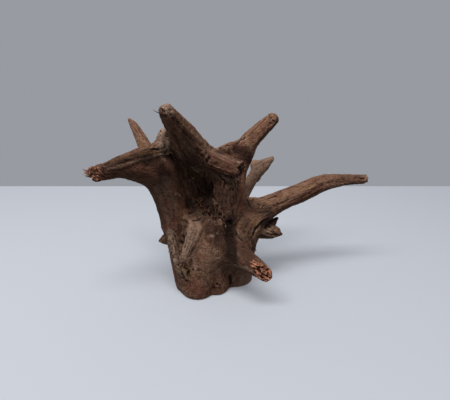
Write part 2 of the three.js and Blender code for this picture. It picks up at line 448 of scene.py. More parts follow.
class WoodField:
    """The root's form: every strand, melted into its neighbours, over flat ground."""

    FOOT_ROUND = 3.0
    GRAIN_MIX = 2.5
    GRAIN_REACH = 12.0
    MARGIN = 6.0
    BASE = -9.0
    CLEAR = 60.0
    SPLINTER_SEED = 5
    PULLS = 3
    NUDGE = 0.5

    def __init__(self, strands: list[Strand], grooves: list[Strand]) -> None:
        """Keeps the strands and finds the box that they fill.

        Args:
            strands: What the root is grown from.
            grooves: What is worn away from it.
        """
        self.strands = strands
        self.grooves = grooves
        self.splinters = GradientNoise(self.SPLINTER_SEED)
        self.low = np.min([strand.low for strand in strands], axis=0) - self.MARGIN
        self.high = np.max([strand.high for strand in strands], axis=0) + self.MARGIN
        self.low[2] = self.BASE

    def distance(self, points: Array, reach: float = 14.0) -> Array:
        """The signed distance from the root's smooth surface, right within about reach mm of it.

        It is the smooth minimum over the strands, less the grooves, and at least the depth below
        the ground, which is joined by a smooth maximum.

        Args:
            points: Rows of x, y, z in millimetres.
            reach: How far from a strand's box it is still measured.

        Returns:
            The signed distances.
        """
        total = np.full(len(points), self.CLEAR)
        for strand in self.strands:
            near = strand.near(points, reach)
            if len(near):
                away = strand.measure(points[near], self.splinters)[0]
                total[near] = smooth_min(total[near], away, strand.blend)
        for groove in self.grooves:
            near = groove.near(points, reach)
            if len(near):
                away = groove.measure(points[near], self.splinters)[0]
                total[near] = -smooth_min(-total[near], away, groove.blend)
        return -smooth_min(-total, points[:, 2], self.FOOT_ROUND)

    def pull(self, points: Array) -> Array:
        """Moves points that are near the surface onto it, along the field's slope.

        Args:
            points: Rows of x, y, z in millimetres.

        Returns:
            The moved points.
        """
        for _ in range(self.PULLS):
            away = self.distance(points)
            nudged = [self.distance(points + step) for step in self.NUDGE * np.eye(3)]
            slope = np.stack(nudged, axis=1) - away[:, None]
            points = points - away[:, None] * unit(slope)
        return points

    def wood_at(self, points: Array) -> Wood:
        """The grain and the character of the wood on the surface.

        Each strand counts by exp(-distance / GRAIN_MIX), so they change over smoothly in the
        crotches.

        Args:
            points: Rows of x, y, z on the surface.

        Returns:
            What the strands say at each of them.
        """
        total = np.zeros((len(points), 7))
        weight = np.full(len(points), 1e-12)
        under = np.full(len(points), NO_FACE)
        fresh = np.zeros(len(points))
        for strand in self.strands:
            near = strand.near(points, self.GRAIN_REACH)
            if len(near) == 0:
                continue
            away, grain, depth = strand.measure(points[near], self.splinters)
            share = np.exp(-np.clip(away, -6.0, 30.0) / self.GRAIN_MIX)
            own = np.tile([strand.ribs, strand.rough, strand.red, strand.pale], (len(near), 1))
            total[near] += np.hstack([grain, own]) * share[:, None]
            weight[near] += share
            lower = (away < 1.0) & (depth < under[near])
            under[near[lower]] = depth[lower]
            fresh[near[lower]] = strand.fresh
        total /= weight[:, None]
        return Wood(total[:, :3], total[:, 3], total[:, 4], total[:, 5], total[:, 6], under, fresh)


@dataclass
class Lattice:
    """A regular grid of field values, read between its points by blending the eight around."""

    low: Array
    spacing: float
    values: Array

    BATCH = 150000

    def finer(self, times: int) -> Lattice:
        """The same values on a finer grid.

        Args:
            times: How many steps each step is cut into.

        Returns:
            The finer grid, with values blended in a straight line between the coarse ones.
        """
        values = self.values
        for axis in range(3):
            values = np.moveaxis(values, axis, 0)
            size = (values.shape[0] - 1) * times + 1
            spread = np.empty((size,) + values.shape[1:], dtype=np.float32)
            for i in range(times):
                t = i / times
                spread[i:-1:times] = values[:-1] * (1.0 - t) + values[1:] * t
            spread[-1] = values[-1]
            values = np.moveaxis(spread, 0, axis)
        return Lattice(self.low, self.spacing / times, np.ascontiguousarray(values))

    def refine(self, form: WoodField, band: float) -> None:
        """Works out the exact field at the grid points that are near the surface.

        Args:
            form: The field.
            band: How far from zero a point's value may be for it to count as near.
        """
        at = (np.abs(self.values) < band).nonzero()
        points = self.low + np.stack(at, axis=-1) * self.spacing
        for i in range(0, len(points), self.BATCH):
            chosen = tuple(index[i:i + self.BATCH] for index in at)
            self.values[chosen] = form.distance(points[i:i + self.BATCH])

    def read(self, points: Array) -> Array:
        """The field at any points, by blending the eight grid values around each.

        Args:
            points: Rows of x, y, z in millimetres.

        Returns:
            The field there.
        """
        place = (points - self.low) / self.spacing
        limit = np.array(self.values.shape) - 1.001
        place = np.clip(place, 0.0, limit)
        cell = place.astype(int)
        offset = place - cell
        total = np.zeros(len(points))
        for corner in CORNERS:
            weight = np.where(corner, offset, 1.0 - offset).prod(axis=1)
            total += weight * self.values[tuple((cell + corner).T)]
        return total


@dataclass
class Skin:
    """A closed mesh of four-sided faces, in millimetres."""

    points: Array
    quads: Array

    EASE = 0.7
    REACH = 8.0
    LONGEST_MOVE = 1.5

    @classmethod
    def through(cls, lattice: Lattice) -> Skin:
        """Draws the surface where a lattice's values change sign.

        Each cell that the surface crosses gets one point, the mean of the crossings on its edges.
        Each grid edge that the surface crosses gets one face, through the four cells around it.

        Args:
            lattice: The values.

        Returns:
            The surface.
        """
        values = lattice.values
        inside = values < 0.0
        nx, ny, nz = np.array(values.shape) - 1
        count = sum(inside[i:i + nx, j:j + ny, k:k + nz].astype(np.int8) for i, j, k in CORNERS)
        cells = np.stack(((count > 0) & (count < 8)).nonzero(), axis=-1)
        number = np.full((nx, ny, nz), -1, dtype=np.int64)
        number[tuple(cells.T)] = np.arange(len(cells))
        at_corner = [values[tuple((cells + corner).T)] for corner in CORNERS]
        total = np.zeros((len(cells), 3))
        crossings = np.zeros(len(cells))
        for i in range(8):
            for j in range(i + 1, 8):
                if np.abs(CORNERS[i] - CORNERS[j]).sum() != 1:
                    continue
                crossed = (at_corner[i] < 0.0) != (at_corner[j] < 0.0)
                t = np.where(crossed, at_corner[i] / np.where(crossed, at_corner[i] - at_corner[j], 1.0), 0.0)
                place = CORNERS[i] + t[:, None] * (CORNERS[j] - CORNERS[i])
                total += np.where(crossed[:, None], place, 0.0)
                crossings += crossed
        points = lattice.low + (cells + total / crossings[:, None]) * lattice.spacing
        quads = [cls.faces_along(inside, number, axis) for axis in range(3)]
        return cls(points, np.concatenate(quads))

    @staticmethod
    def faces_along(inside: Array, number: Array, axis: int) -> Array:
        """The faces across the grid edges that run along one axis, turned to face outwards.

        Args:
            inside: Whether each grid point is inside the surface.
            number: Each cell's point.
            axis: The edges' direction.

        Returns:
            The four points around each face.
        """
        first = [slice(1, -1)] * 3
        second = [slice(1, -1)] * 3
        first[axis] = slice(0, -1)
        second[axis] = slice(1, None)
        leaving = inside[tuple(first)]
        at = np.stack((leaving != inside[tuple(second)]).nonzero(), axis=-1)
        entering = ~leaving[tuple(at.T)]
        shift = np.ones(3, dtype=int)
        shift[axis] = 0
        at = at + shift
        u = np.eye(3, dtype=int)[(axis + 1) % 3]
        v = np.eye(3, dtype=int)[(axis + 2) % 3]
        around = (u + v, v, 0 * u, u)
        quads = np.stack([number[tuple((at - step).T)] for step in around], axis=-1)
        quads[entering] = quads[entering][:, ::-1]
        return quads

    def normals(self) -> Array:
        """The outward direction at each point, from the crossed diagonals of its faces.

        Returns:
            One unit vector for each point.
        """
        p = self.points
        q = self.quads
        face = np.cross(p[q[:, 2]] - p[q[:, 0]], p[q[:, 3]] - p[q[:, 1]])
        total = np.zeros_like(p)
        for corner in range(4):
            for axis in range(3):
                total[:, axis] += np.bincount(q[:, corner], face[:, axis], len(p))
        return unit(total)

    def neighbour_mean(self, values: Array) -> Array:
        """The mean of each point's values over the points that it shares an edge with.

        Args:
            values: One value, or one row of them, for each point.

        Returns:
            The means, in the same shape.
        """
        columns = values.reshape(len(values), -1)
        total = np.zeros(columns.shape)
        count = np.zeros(len(values))
        for corner in range(4):
            a = self.quads[:, corner]
            b = self.quads[:, (corner + 1) % 4]
            count += np.bincount(a, minlength=len(values)) + np.bincount(b, minlength=len(values))
            for i in range(columns.shape[1]):
                total[:, i] += np.bincount(a, columns[b, i], len(values))
                total[:, i] += np.bincount(b, columns[a, i], len(values))
        return (total / count[:, None]).reshape(values.shape)

    def settle(self, form: WoodField, rounds: int) -> None:
        """Evens the points out along the surface, then puts them back on it, several times.

        Args:
            form: The field that the surface is drawn through.
            rounds: How many times.
        """
        for _ in range(rounds):
            normal = self.normals()
            drift = self.neighbour_mean(self.points) - self.points
            drift -= dot(drift, normal)[:, None] * normal
            self.points += self.EASE * drift
            away = form.distance(self.points, self.REACH)
            move = np.clip(away, -self.LONGEST_MOVE, self.LONGEST_MOVE)
            self.points -= move[:, None] * normal


class Tint(Enum):
    """A colour that a mark leaves on the wood: the dark one is grime and painted shade, the pale one
    bleaching and painted highlight. Its value names the skin's attribute.
    """

    DARK = "dark"
    RED = "red"
    OCHRE = "ochre"
    PALE = "pale"


DARK, RED, OCHRE, PALE = Tint


def spots(path: str) -> Array:
    """Reads picture points, written as across,down with spaces between them."""
    return np.array([spot.split(",") for spot in path.split()], dtype=float)


@dataclass(frozen=True)
class Mark:
    """One crack, lump or stain, placed where the photograph shows it.

    Attributes:
        path: The picture points (across, down) that it follows, in a picture 450 by 400.
        width: How far to either side it reaches, in millimetres.
        height: How far its middle stands out, or goes in where negative, in millimetres.
        tint: The colour that it leaves, if any.
        amount: How strong the colour is.
        rough: How crumbly it makes the wood.
        sharp: Whether it falls off straight, as a split does, and not softly.
    """

    path: str
    width: float
    height: float = 0.0
    tint: Tint | None = None
    amount: float = 1.0
    rough: float = 0.0
    sharp: bool = False

    STEP = 1.5

    def stops(self) -> Array:
        """The path's picture points, filled in about every STEP.

        Returns:
            Rows of (across, down).
        """
        path = spots(self.path)
        pieces = []
        for a, b in zip(path[:-1], path[1:]):
            count = max(1, math.ceil(math.dist(a, b) / self.STEP))
            pieces.append(a + (b - a) * np.linspace(0.0, 1.0, count, endpoint=False)[:, None])
        return np.concatenate(pieces + [path[-1:]])


def crack(path: str, width: float = 1.3, depth: float = 1.4, dark: float = 0.7) -> Mark:
    """A split, cut in and darkened with grime and painted shade."""
    return Mark(path, width, -depth, DARK, dark, sharp=True)


def stain(tint: Tint, path: str, width: float = 3.0, amount: float = 0.8) -> Mark:
    """A patch of colour; some dark ones are painted shade and some pale ones painted highlight."""
    return Mark(path, width, 0.0, tint, amount)


def ridge(path: str, width: float = 2.5, height: float = 1.5, pale: float = 0.4) -> Mark:
    """A raised, paler line."""
    return Mark(path, width, height, PALE, pale)


def crumble(path: str, width: float = 8.0, rough: float = 1.0) -> Mark:
    """A crumbly stretch."""
    return Mark(path, width, rough=rough)


# What the photograph shows on each part of the root, read off it. After the path, a crack
# gives its width, depth and darkness, a stain its width and amount, a ridge its width, height and
# paleness, and a crumbly stretch its width and roughness.
LEFT_ARM_MARKS = [
    crumble("104,163 118,159 130,154 142,151 153,149 160,146", 3, 0.35),
    stain(DARK, "106,164 120,159 136,155 150,151.5", 6, 0.65),
    # Painted shade: the arm's front under the ledge, and its root under the top arm.
    stain(DARK, "112,171 130,170 146,168 156,169", 13, 0.42),
    stain(DARK, "146,160 158,164 166,176", 13, 0.85),
    stain(PALE, "165,180 170,196 174,212", 7, 0.3),
    stain(PALE, "157,188 162,204 168,222", 5, 0.45),
    crack("103,165 109,161.5", 1.6, 1.6, 0.9),
    crack("104,168 112,166 122,163 129,160.5 137,160"),
    crack("145,163 148.6,167", 1.4, 1.2),
    crack("120.5,164.5 121.5,167", 1.5, 1),
    crack("151,149.5 155,148.5 160,150.5", 1.5, 1.8, 0.9),
    stain(OCHRE, "139,154 146,152.5 152,152 158,153", 3, 0.7),
    stain(OCHRE, "108,162 120,157.5 129,155", 3, 0.7),
    stain(RED, "130,168 150,168 166,172 172,190", 9, 0.5),
    stain(DARK, "102.5,166 103.5,172 103,178", 2),
    Mark("176,194 180,196", 3, 0.8, PALE, 0.4),
    crack("180.5,193.5 182,196"),
]

TOP_ARM_MARKS = [
    crumble("163,110 170,116 180,123", 6, 0.6),
    stain(RED, "161,113 166,117 173,119", 3.5),
    stain(PALE, "163,108 170,112", 8, 0.9),
    crack("163,110.5 164.5,112", 1.4),
    crack("167,111.5 169,113"),
    crack("170.5,114.6 173,115.6", 1.5),
    crack("163.5,117 167,116.5", 1.6),
    crack("171.5,118 174,119.5"),
    crack("177,122 180,124.5", 1.2),
    # Ochre colour and a painted highlight along the top arm's lit upper edge.
    stain(OCHRE, "178,119 186,126 194,134 204,143", 3.5, 0.6),
    stain(PALE, "180,120 190,130 203,142", 2.5, 0.35),
    stain(RED, "185,126 186,134", 4, 0.9),
    stain(DARK, "184,128 186,134", 2.5, 0.5),
    stain(DARK, "186,135 194,143", 8, 0.4),
    crumble("200,143 204,152 207,160", 7, 0.5),
    stain(OCHRE, "201,148 204,152", 2.2, 0.7),
    stain(PALE, "205,146 212,152", 3.5, 0.4),
    crack("201,154.5 203,156.5", 1.6, 1.2),
    crack("197,148 198.5,150.5", 1.5, 1),
    crack("210,146 212,148", 1.2, 1),
    crack("209.5,156 208,159.5 206,163", 2, 2.6, 0.9),
]

SMALL_STUB_MARKS = [
    crumble("163,132 163,141 164,149", 6, 0.4),
    stain(PALE, "163,130 163,141 163,150", 10, 1.2),
    stain(OCHRE, "162,134 163,148", 7, 0.4),
    crack("166,131 167,133"),
    crack("166,135 167,138"),
    crack("168,140 170.5,146 171.5,152", 2, 3, 0.9),
    crack("170,154 172,159 174.5,163", 1.6, 2, 0.8),
    stain(OCHRE, "166.5,140 168.5,149", 2),
]

RIGHT_STUB_MARKS = [
    stain(PALE, "212,151 224,156 234,160.5", 3, 0.3),
    stain(PALE, "238,161.5 241.5,163", 2),
    stain(RED, "210,168 226,172 236,174", 5, 0.2),
    stain(DARK, "238,163 243,150 248,148 246,158", 7, 0.4),
    crack("237.5,168 239.5,170", 1.8, 1.8, 0.9),
    stain(DARK, "240.5,165.5 241,174", 3, 0.95),
    Mark("222,176.5 228,178.5 234,180 238,178.5", 3.4, 3.6, PALE, 1.3, sharp=True),
    crack("237.5,181 235.5,186 233,191", 1.8, 2.4, 0.8),
    crack("219.5,175.5 222,178 225,180.5", 1.5, 1.8, 0.8),
    crack("225.5,182.5 223.5,188", 1.6, 1.8, 0.8),
    crack("227,180.5 232,182 236,181.5", 1.5, 2, 0.9),
    crack("204,148.5 206,150", 1.3, 1),
    stain(RED, "243,168 243,184 241,200 240,212", 5, 0.6),
    # Painted light that lifts the stub's shaded underside.
    stain(PALE, "212,174 219,177", 4, 0.4),
]

UPPER_RIGHT_ARM_MARKS = [
    crack("235.5,145 239.5,140.5 245,136.5", 1.9, 2.2, 0.9),
    crumble("219,149 226,150 232,148", 8, 0.9),
    crack("219.5,148 221.5,149.5", 2, 2.2, 0.9),
    stain(RED, "224,152 231,154", 4.5, 0.9),
    stain(DARK, "220,152 228,152 236,156", 7, 0.65),
    stain(OCHRE, "229,144 234,146", 3, 0.5),
    crack("233.5,144 235,149", 1.4),
    stain(RED, "236,147 245,155 250,164", 11, 1),
    # Painted shade in the crotch below the stub's end, with grime.
    stain(DARK, "236,150 244,152 249,160", 12, 0.95),
    crumble("271,118 274,121", 7, 0.7),
    crack("269,122.5 271.5,123.5"),
    crack("272,120.5 275,121.5", 1.2),
    stain(OCHRE, "268,117 273,115.5", 3.5, 0.5),
    stain(DARK, "277,120 274,125 266,132 258,142 251,152", 3.5, 0.65),
    crack("243,158 248,151", 1.2, 0.9, 0.4),
]

RIGHT_ARM_MARKS = [
    crack("364.5,180.3 350,181 335,181.3 326,183 318,187 311,192 303,196.5 294,200.5 284,205",
          3.6, 0.75, 0.15),
    stain(RED, "320,187 312,193 302,199 290,204", 4),
    stain(DARK, "322,188 312,194 300,200 288,206", 3, 0.4),
    crack("264,200 270,197.5 277,195.5", 1.2, 1, 0.5),
    crack("262,207 270,206 281,203 292,198", 1.2, 0.9, 0.35),
    crack("258,213 266,212 274,209.5", 1.2, 0.9, 0.4),
    stain(OCHRE, "310,187 314,185", 2.2, 0.6),
    stain(OCHRE, "301,190 304,190", 1.8, 0.5),
    stain(OCHRE, "318,176 330,176", 4, 0.25),
    stain(DARK, "340,177 350,178 362,178", 6, 0.35),
    crack("360,178.8 365,178.4", 1.6, 1.8, 0.6),
    Mark("250,199 254,199", 4, 1.4, OCHRE, 0.4),
    crack("247.5,200 249,204 251,208.5", 1.4, 1.4, 0.8),
    crumble("247,202 256,206 262,210", 6, 0.5),
    # Painted shade below the right arm's base.
    stain(DARK, "248,206 258,210 270,212", 11, 0.7),
    stain(DARK, "244,212 246,226 246,240", 10, 0.5),
]

KNOB_MARKS = [
    # Painted shadow of the right arm on the knob's top.
    stain(DARK, "275,218 268,221 262,223", 6.5, 1),
    crack("272,217.5 264,220 259,225 255,230 251.5,238", 2, 2.6, 0.9),
    # Ochre colour, brightened with painted light, on the knob's face.
    stain(OCHRE, "259,232 267,229 275,231", 6, 0.9),
    stain(PALE, "263,230 273,230", 6, 1.1),
    crack("278.5,235.5 271,235 265,233.5", 1.5, 1.4, 0.8),
    crack("271,226 264,228", 1.3, 1.2),
    # Painted shade along the knob's underside edge.
    stain(DARK, "256,236 262,236.5 270,237", 1.6),
    crumble("252,236 253,246", 5),
    stain(DARK, "251,238 253,247", 3, 0.7),
]

LOW_STUB_MARKS = [
    crack("241,246 245.5,247.5 249.5,250.5", 1.2, 1.1, 0.6),
    stain(DARK, "242,236 246,248 249,262", 12, 0.45),
    crack("256,262 258,264.5", 1.6, 2.4, 1),
    crack("261,265.5 263.5,268.5", 1.7, 2.6, 1),
    crack("258,267 260.5,270", 1.5, 2.2, 1),
    crack("262.5,270.5 265,273.5", 1.8, 2.6, 1),
    crack("265.5,276 267.5,278.5", 1.7, 2.2, 1),
    crack("253.5,264 255,266", 1.3, 1.8, 1),
    crack("266.5,270 268,272.5", 1.4, 1.8, 1),
    stain(PALE, "246,268 256,274 263,279", 2.5, 0.5),
    stain(DARK, "266.5,279.5 268,279", 1.8, 0.9),
]

FRONT_MARKS = [
    Mark("192,216 197,215.5 201,217", 3.6, 1.6, DARK, 0.85),
    crack("192,220.8 197,220.5 201,219", 1.5, 1.8),
    crack("195,201 201,206", 1.8, 1.8),
    crack("189,214 193,211.5", 2, 2),
    # Painted shade in the groove left of the tongue.
    Mark("185,222 184,232 182,242", 5, -2, DARK, 0.35),
    crack("183,236 182,244 180,254", 3.2, 3.2, 0.8),
    # Painted shade of the hollow above, on the top of the lip.
    stain(DARK, "187,202 196,208 206,212", 13),
    stain(DARK, "189,214 196,213.5 203,216", 5, 0.65),
    crack("192,226 190,240 186,252 182,262", 1.8, 0.7, 0.4),
    crack("197,226 195,238 191,248 185,262", 1.8, 0.8, 0.45),
    crack("188,228 187,238 184,250", 1.7, 0.6, 0.35),
    stain(PALE, "191,226 189,240 184,257 180,264", 6, 0.75),
    stain(PALE, "198,223 198,230 194,242", 4.5, 0.55),
    crack("204,227 200,236 195,247 189,258", 1.8, 1.2, 0.6),
    stain(OCHRE, "177,236 179,248", 6, 0.2),
    crumble("176,232 178,246 178,256", 6, 0.45),
    # Painted shade in the gap left of the tongue, with grime in its pit.
    stain(DARK, "181,226 179,240 178,252", 6, 0.55),
    crack("172,230 176,239 178,247 179,256", 1.2, 1.2, 0.6),
    stain(PALE, "170,234 171.5,246 174,260", 7, 1.3),
    crumble("170,240 172,250 173,258", 4, 0.4),
    stain(OCHRE, "186,268 189,273", 6.5, 1),
    crack("188.5,272 187,275", 2.2, 3, 0.9),
    crack("181.5,273 184,276.5", 1.4, 1.4, 0.6),
    ridge("182,268 187,279", 1.5, 0.9),
    crack("178,266 181,268.5 184,267.5", 1.3, 1.2),
    stain(RED, "188,284 200,291 212,292", 12, 0.6),
    crack("213,284 214.5,289", 1.7, 1.8, 0.8),
    crack("217,284 220,285.5", 1.6),
    crumble("212,286 221,285", 6, 0.6),
    stain(RED, "212,287 220,287", 4),
]

BELLY_MARKS = [
    stain(PALE, "210.5,235.5 213,236.5", 2.2, 1),
    stain(PALE, "217,233", 1.8, 0.9),
    stain(PALE, "215,257.5 219,258.5", 2.6),
    stain(PALE, "194,258 196,270", 3.5, 0.6),
    stain(PALE, "199,250 203,253", 3, 0.45),
    stain(PALE, "202,262 210,268", 4, 0.35),
    crack("192,269.5 196,271 200,269.5", 1.2, 1.1),
    crack("190.5,259 192,261.5", 1.2, 0.8),
    # Painted shade, with grime, below the crumbly patch and down the groove beside the low stub.
    stain(DARK, "204,219 213,223 222,229", 12, 0.7),
    stain(DARK, "208,229 214,233 221,239", 13, 0.78),
    stain(DARK, "224,222 226,234 228,246", 10, 0.6),
    stain(DARK, "229,222 230,240 232,258", 15, 1),
    stain(PALE, "206,250 212,258 218,270", 12, 0.3),
    Mark("229,226 231,240 232,258", 9, -2.4),
    crack("230,220 231.5,223 233,226", 1.8, 2.2, 0.9),
    crack("235.5,230.5 237,235 239,238 243,241.5", 1.5, 1.8, 0.8),
    ridge("236.5,229.5 239,234.5", 1.3, 1),
    stain(PALE, "226,265 238,266.5 248,270", 4, 0.65),
    # Painted shade in the cavity between the right lobe and the belly.
    stain(DARK, "229,276 230,284", 4),
    # Painted light that brightens the shaded right lobe.
    stain(PALE, "242,277", 9, 0.6),
    crack("229.5,274 231,280 230,286", 2.4, 2.2, 0.8),
]

HOLLOW_MARKS = [
    crumble("200,196 206,206 212,214 217,221", 11, 0.9),
    crumble("210,196 216,206 222,216", 9, 0.7),
    crumble("224,176 230,184 228,194", 7, 0.5),
    # Grime and painted shade in the crumbly patch.
    stain(DARK, "200,196 206,206 213,216", 14, 1),
    crack("198,203 201,207 204,208", 2.8, 3, 0.95),
    crack("205,208 208,212 212,217", 3, 3.4, 0.95),
    crack("203,213 206,216", 2.4, 2.6, 0.9),
    crack("213,196 217,201", 1.8),
    crack("198,188 200,193", 2, 2),
    crack("220,218 222,222", 1.8, 2),
    crack("219,218 221.5,223", 1.8, 2),
    crack("226,214 224,220", 1.5),
    crack("229,221 232,224", 2, 2.2, 0.9),
    crack("233,194 234.5,202 233,212 234,218", 1.3, 1, 0.6),
    # Grime and painted shade down the hollow; the stain under the right stub is painted shade alone.
    stain(DARK, "191,158 192,170 194,182 198,196", 17, 0.7),
    stain(DARK, "203,182 206,192 210,205 216,216", 15, 0.92),
    stain(DARK, "217,178 219,192 223,206", 9, 0.65),
    stain(DARK, "228,190 230,204 231,216", 10, 0.35),
    stain(DARK, "212,185 213,190 214,196", 8, 0.6),
    stain(DARK, "178,160 179,170 180,180", 6, 0.3),
]

MARKS = (LEFT_ARM_MARKS + TOP_ARM_MARKS + SMALL_STUB_MARKS + RIGHT_STUB_MARKS + UPPER_RIGHT_ARM_MARKS
         + RIGHT_ARM_MARKS + KNOB_MARKS + LOW_STUB_MARKS + FRONT_MARKS + BELLY_MARKS + HOLLOW_MARKS)


@dataclass(frozen=True)
class Viewpoint:
    """Where the photograph was taken from, to find what each place in it shows.

    Attributes:
        at: The camera's place, in millimetres.
        pitch: How far it looks down, in degrees.
        focal: Its focal length, in picture points.
        middle: The picture's middle, in picture points.
    """

    at: tuple[float, float, float] = (17.4, -333.0, 250.0)
    pitch: float = 22.0
    focal: float = 300.0
    middle: tuple[float, float] = (225.0, 200.0)

    NEAR = 150.0
    FAR = 560.0
    STRIDE = 1.5

    def directions(self, places: Array) -> Array:
        """The direction from the camera through each picture point.

        Args:
            places: Rows of (across, down).

        Returns:
            One unit vector for each.
        """
        tilt = math.radians(self.pitch)
        forward = np.array([0.0, math.cos(tilt), -math.sin(tilt)])
        up = np.array([0.0, math.sin(tilt), math.cos(tilt)])
        side = (places - self.middle) / self.focal
        return unit(forward + side[:, :1] * (1.0, 0.0, 0.0) - side[:, 1:] * up)

    def touch(self, form: WoodField, places: Array) -> Array:
        """Where the line through each picture point first meets the form.

        Each line is walked in equal strides. Where the field changes sign the meeting point is
        found by proportion. A line that misses gives the place where it passes closest. The points
        are then pulled onto the wood.

        Args:
            form: The field.
            places: Rows of picture points (across, down).

        Returns:
            Rows of x, y, z in millimetres.
        """
        along = np.arange(self.NEAR, self.FAR, self.STRIDE)
        direction = self.directions(places)
        points = np.array(self.at) + along[None, :, None] * direction[:, None, :]
        value = form.distance(points.reshape(-1, 3)).reshape(len(places), -1)
        hit = value < 0.0
        first = np.where(hit.any(axis=1), np.maximum(hit.argmax(axis=1), 1), value.argmin(axis=1))
        row = np.arange(len(places))
        before = value[row, first - 1]
        share = np.where(hit.any(axis=1), before / np.maximum(before - value[row, first], 1e-6), 1.0)
        reach = along[first - 1] + share * self.STRIDE
        return form.pull(np.array(self.at) + reach[:, None] * direction)


@dataclass
class Markings:
    """What all the marks together do to each point of the skin.

    Attributes:
        height: How far they raise it, in millimetres.
        rough: How crumbly they make it.
        tints: How strongly they colour it, by tint.
    """

    height: Array
    rough: Array
    tints: dict[Tint, Array]

    GAP = 9.0
    SEED = 31
    UNEVEN = 0.45
    FINEST = 2.5
    MARGIN = 1.5

    @classmethod
    def on(cls, points: Array, form: WoodField, marks: list[Mark]) -> Markings:
        """Lays the marks on a surface.

        The distance to a mark's line, made uneven by noise, gives its strength: straight down from
        1 at the line to 0 at its width for a sharp mark, and smoothly for a soft one.

        Args:
            points: The surface's points.
            form: The field that the surface is drawn through.
            marks: The marks.

        Returns:
            Their sum at each point.
        """
        total = cls(np.zeros(len(points)), np.zeros(len(points)), {t: np.zeros(len(points)) for t in Tint})
        stops = [mark.stops() for mark in marks]
        places = Viewpoint().touch(form, np.concatenate(stops))
        splits = np.cumsum([len(stop) for stop in stops])[:-1]
        wobble = GradientNoise(cls.SEED)
        for mark, line in zip(marks, np.split(places, splits)):
            margin = mark.width * cls.MARGIN
            inside = (points > line.min(axis=0) - margin) & (points < line.max(axis=0) + margin)
            near = np.all(inside, axis=1).nonzero()[0]
            away, taper = cls.away_from(points[near], line, mark.sharp)
            uneven = 1.0 + cls.UNEVEN * wobble.layers(points[near] / max(cls.FINEST, mark.width), 2)
            share = away * uneven / mark.width
            strength = np.clip(1.0 - share, 0.0, 1.0) if mark.sharp else smooth_step(1.0, 0.2, share)
            strength = strength * taper
            total.height[near] += mark.height * strength
            total.rough[near] = np.maximum(total.rough[near], mark.rough * strength)
            if mark.tint is not None:
                tinted = total.tints[mark.tint]
                tinted[near] = np.maximum(tinted[near], mark.amount * strength)
        return total

    @classmethod
    def away_from(cls, points: Array, line: Array, tapers: bool) -> tuple[Array, Array]:
        """The distance from points to a line of stops, and how far a split is open there.

        A gap of over GAP mm between two stops, where the line of sight jumps from one part of the
        root to another, is left out.

        Args:
            points: Rows of x, y, z in millimetres.
            line: The stops.
            tapers: Whether the line closes towards its ends, as a split does.

        Returns:
            The distances, and a share from 0.3 at a closing end to 1 along the middle.
        """
        if len(line) == 1:
            return np.linalg.norm(points - line[0], axis=1), np.ones(len(points))
        nearest = np.full(len(points), FARTHEST)
        where = np.zeros(len(points))
        for i, (a, b) in enumerate(zip(line[:-1], line[1:])):
            step = b - a
            length = float(step @ step)
            if length > cls.GAP ** 2 or length < 1e-6:
                continue
            t = np.clip((points - a) @ step / length, 0.0, 1.0)
            gap = points - a - t[:, None] * step
            away = np.sqrt(dot(gap, gap))
            closer = away < nearest
            nearest[closer] = away[closer]
            where[closer] = (i + t[closer]) / (len(line) - 1)
        taper = np.clip(5.0 * np.minimum(where, 1.0 - where) + 0.3, 0.0, 1.0)
        return nearest, taper if tapers else np.ones(len(points))


@dataclass(frozen=True)
class GrainNoise:
    """Noise whose features are so wide across the grain and so long along it, in millimetres."""

    seed: int
    across: float
    along: float

    def __call__(self, grain: Array) -> Array:
        """The noise at rows of grain coordinates."""
        return GradientNoise(self.seed)(grain / (self.across, self.across, self.along))


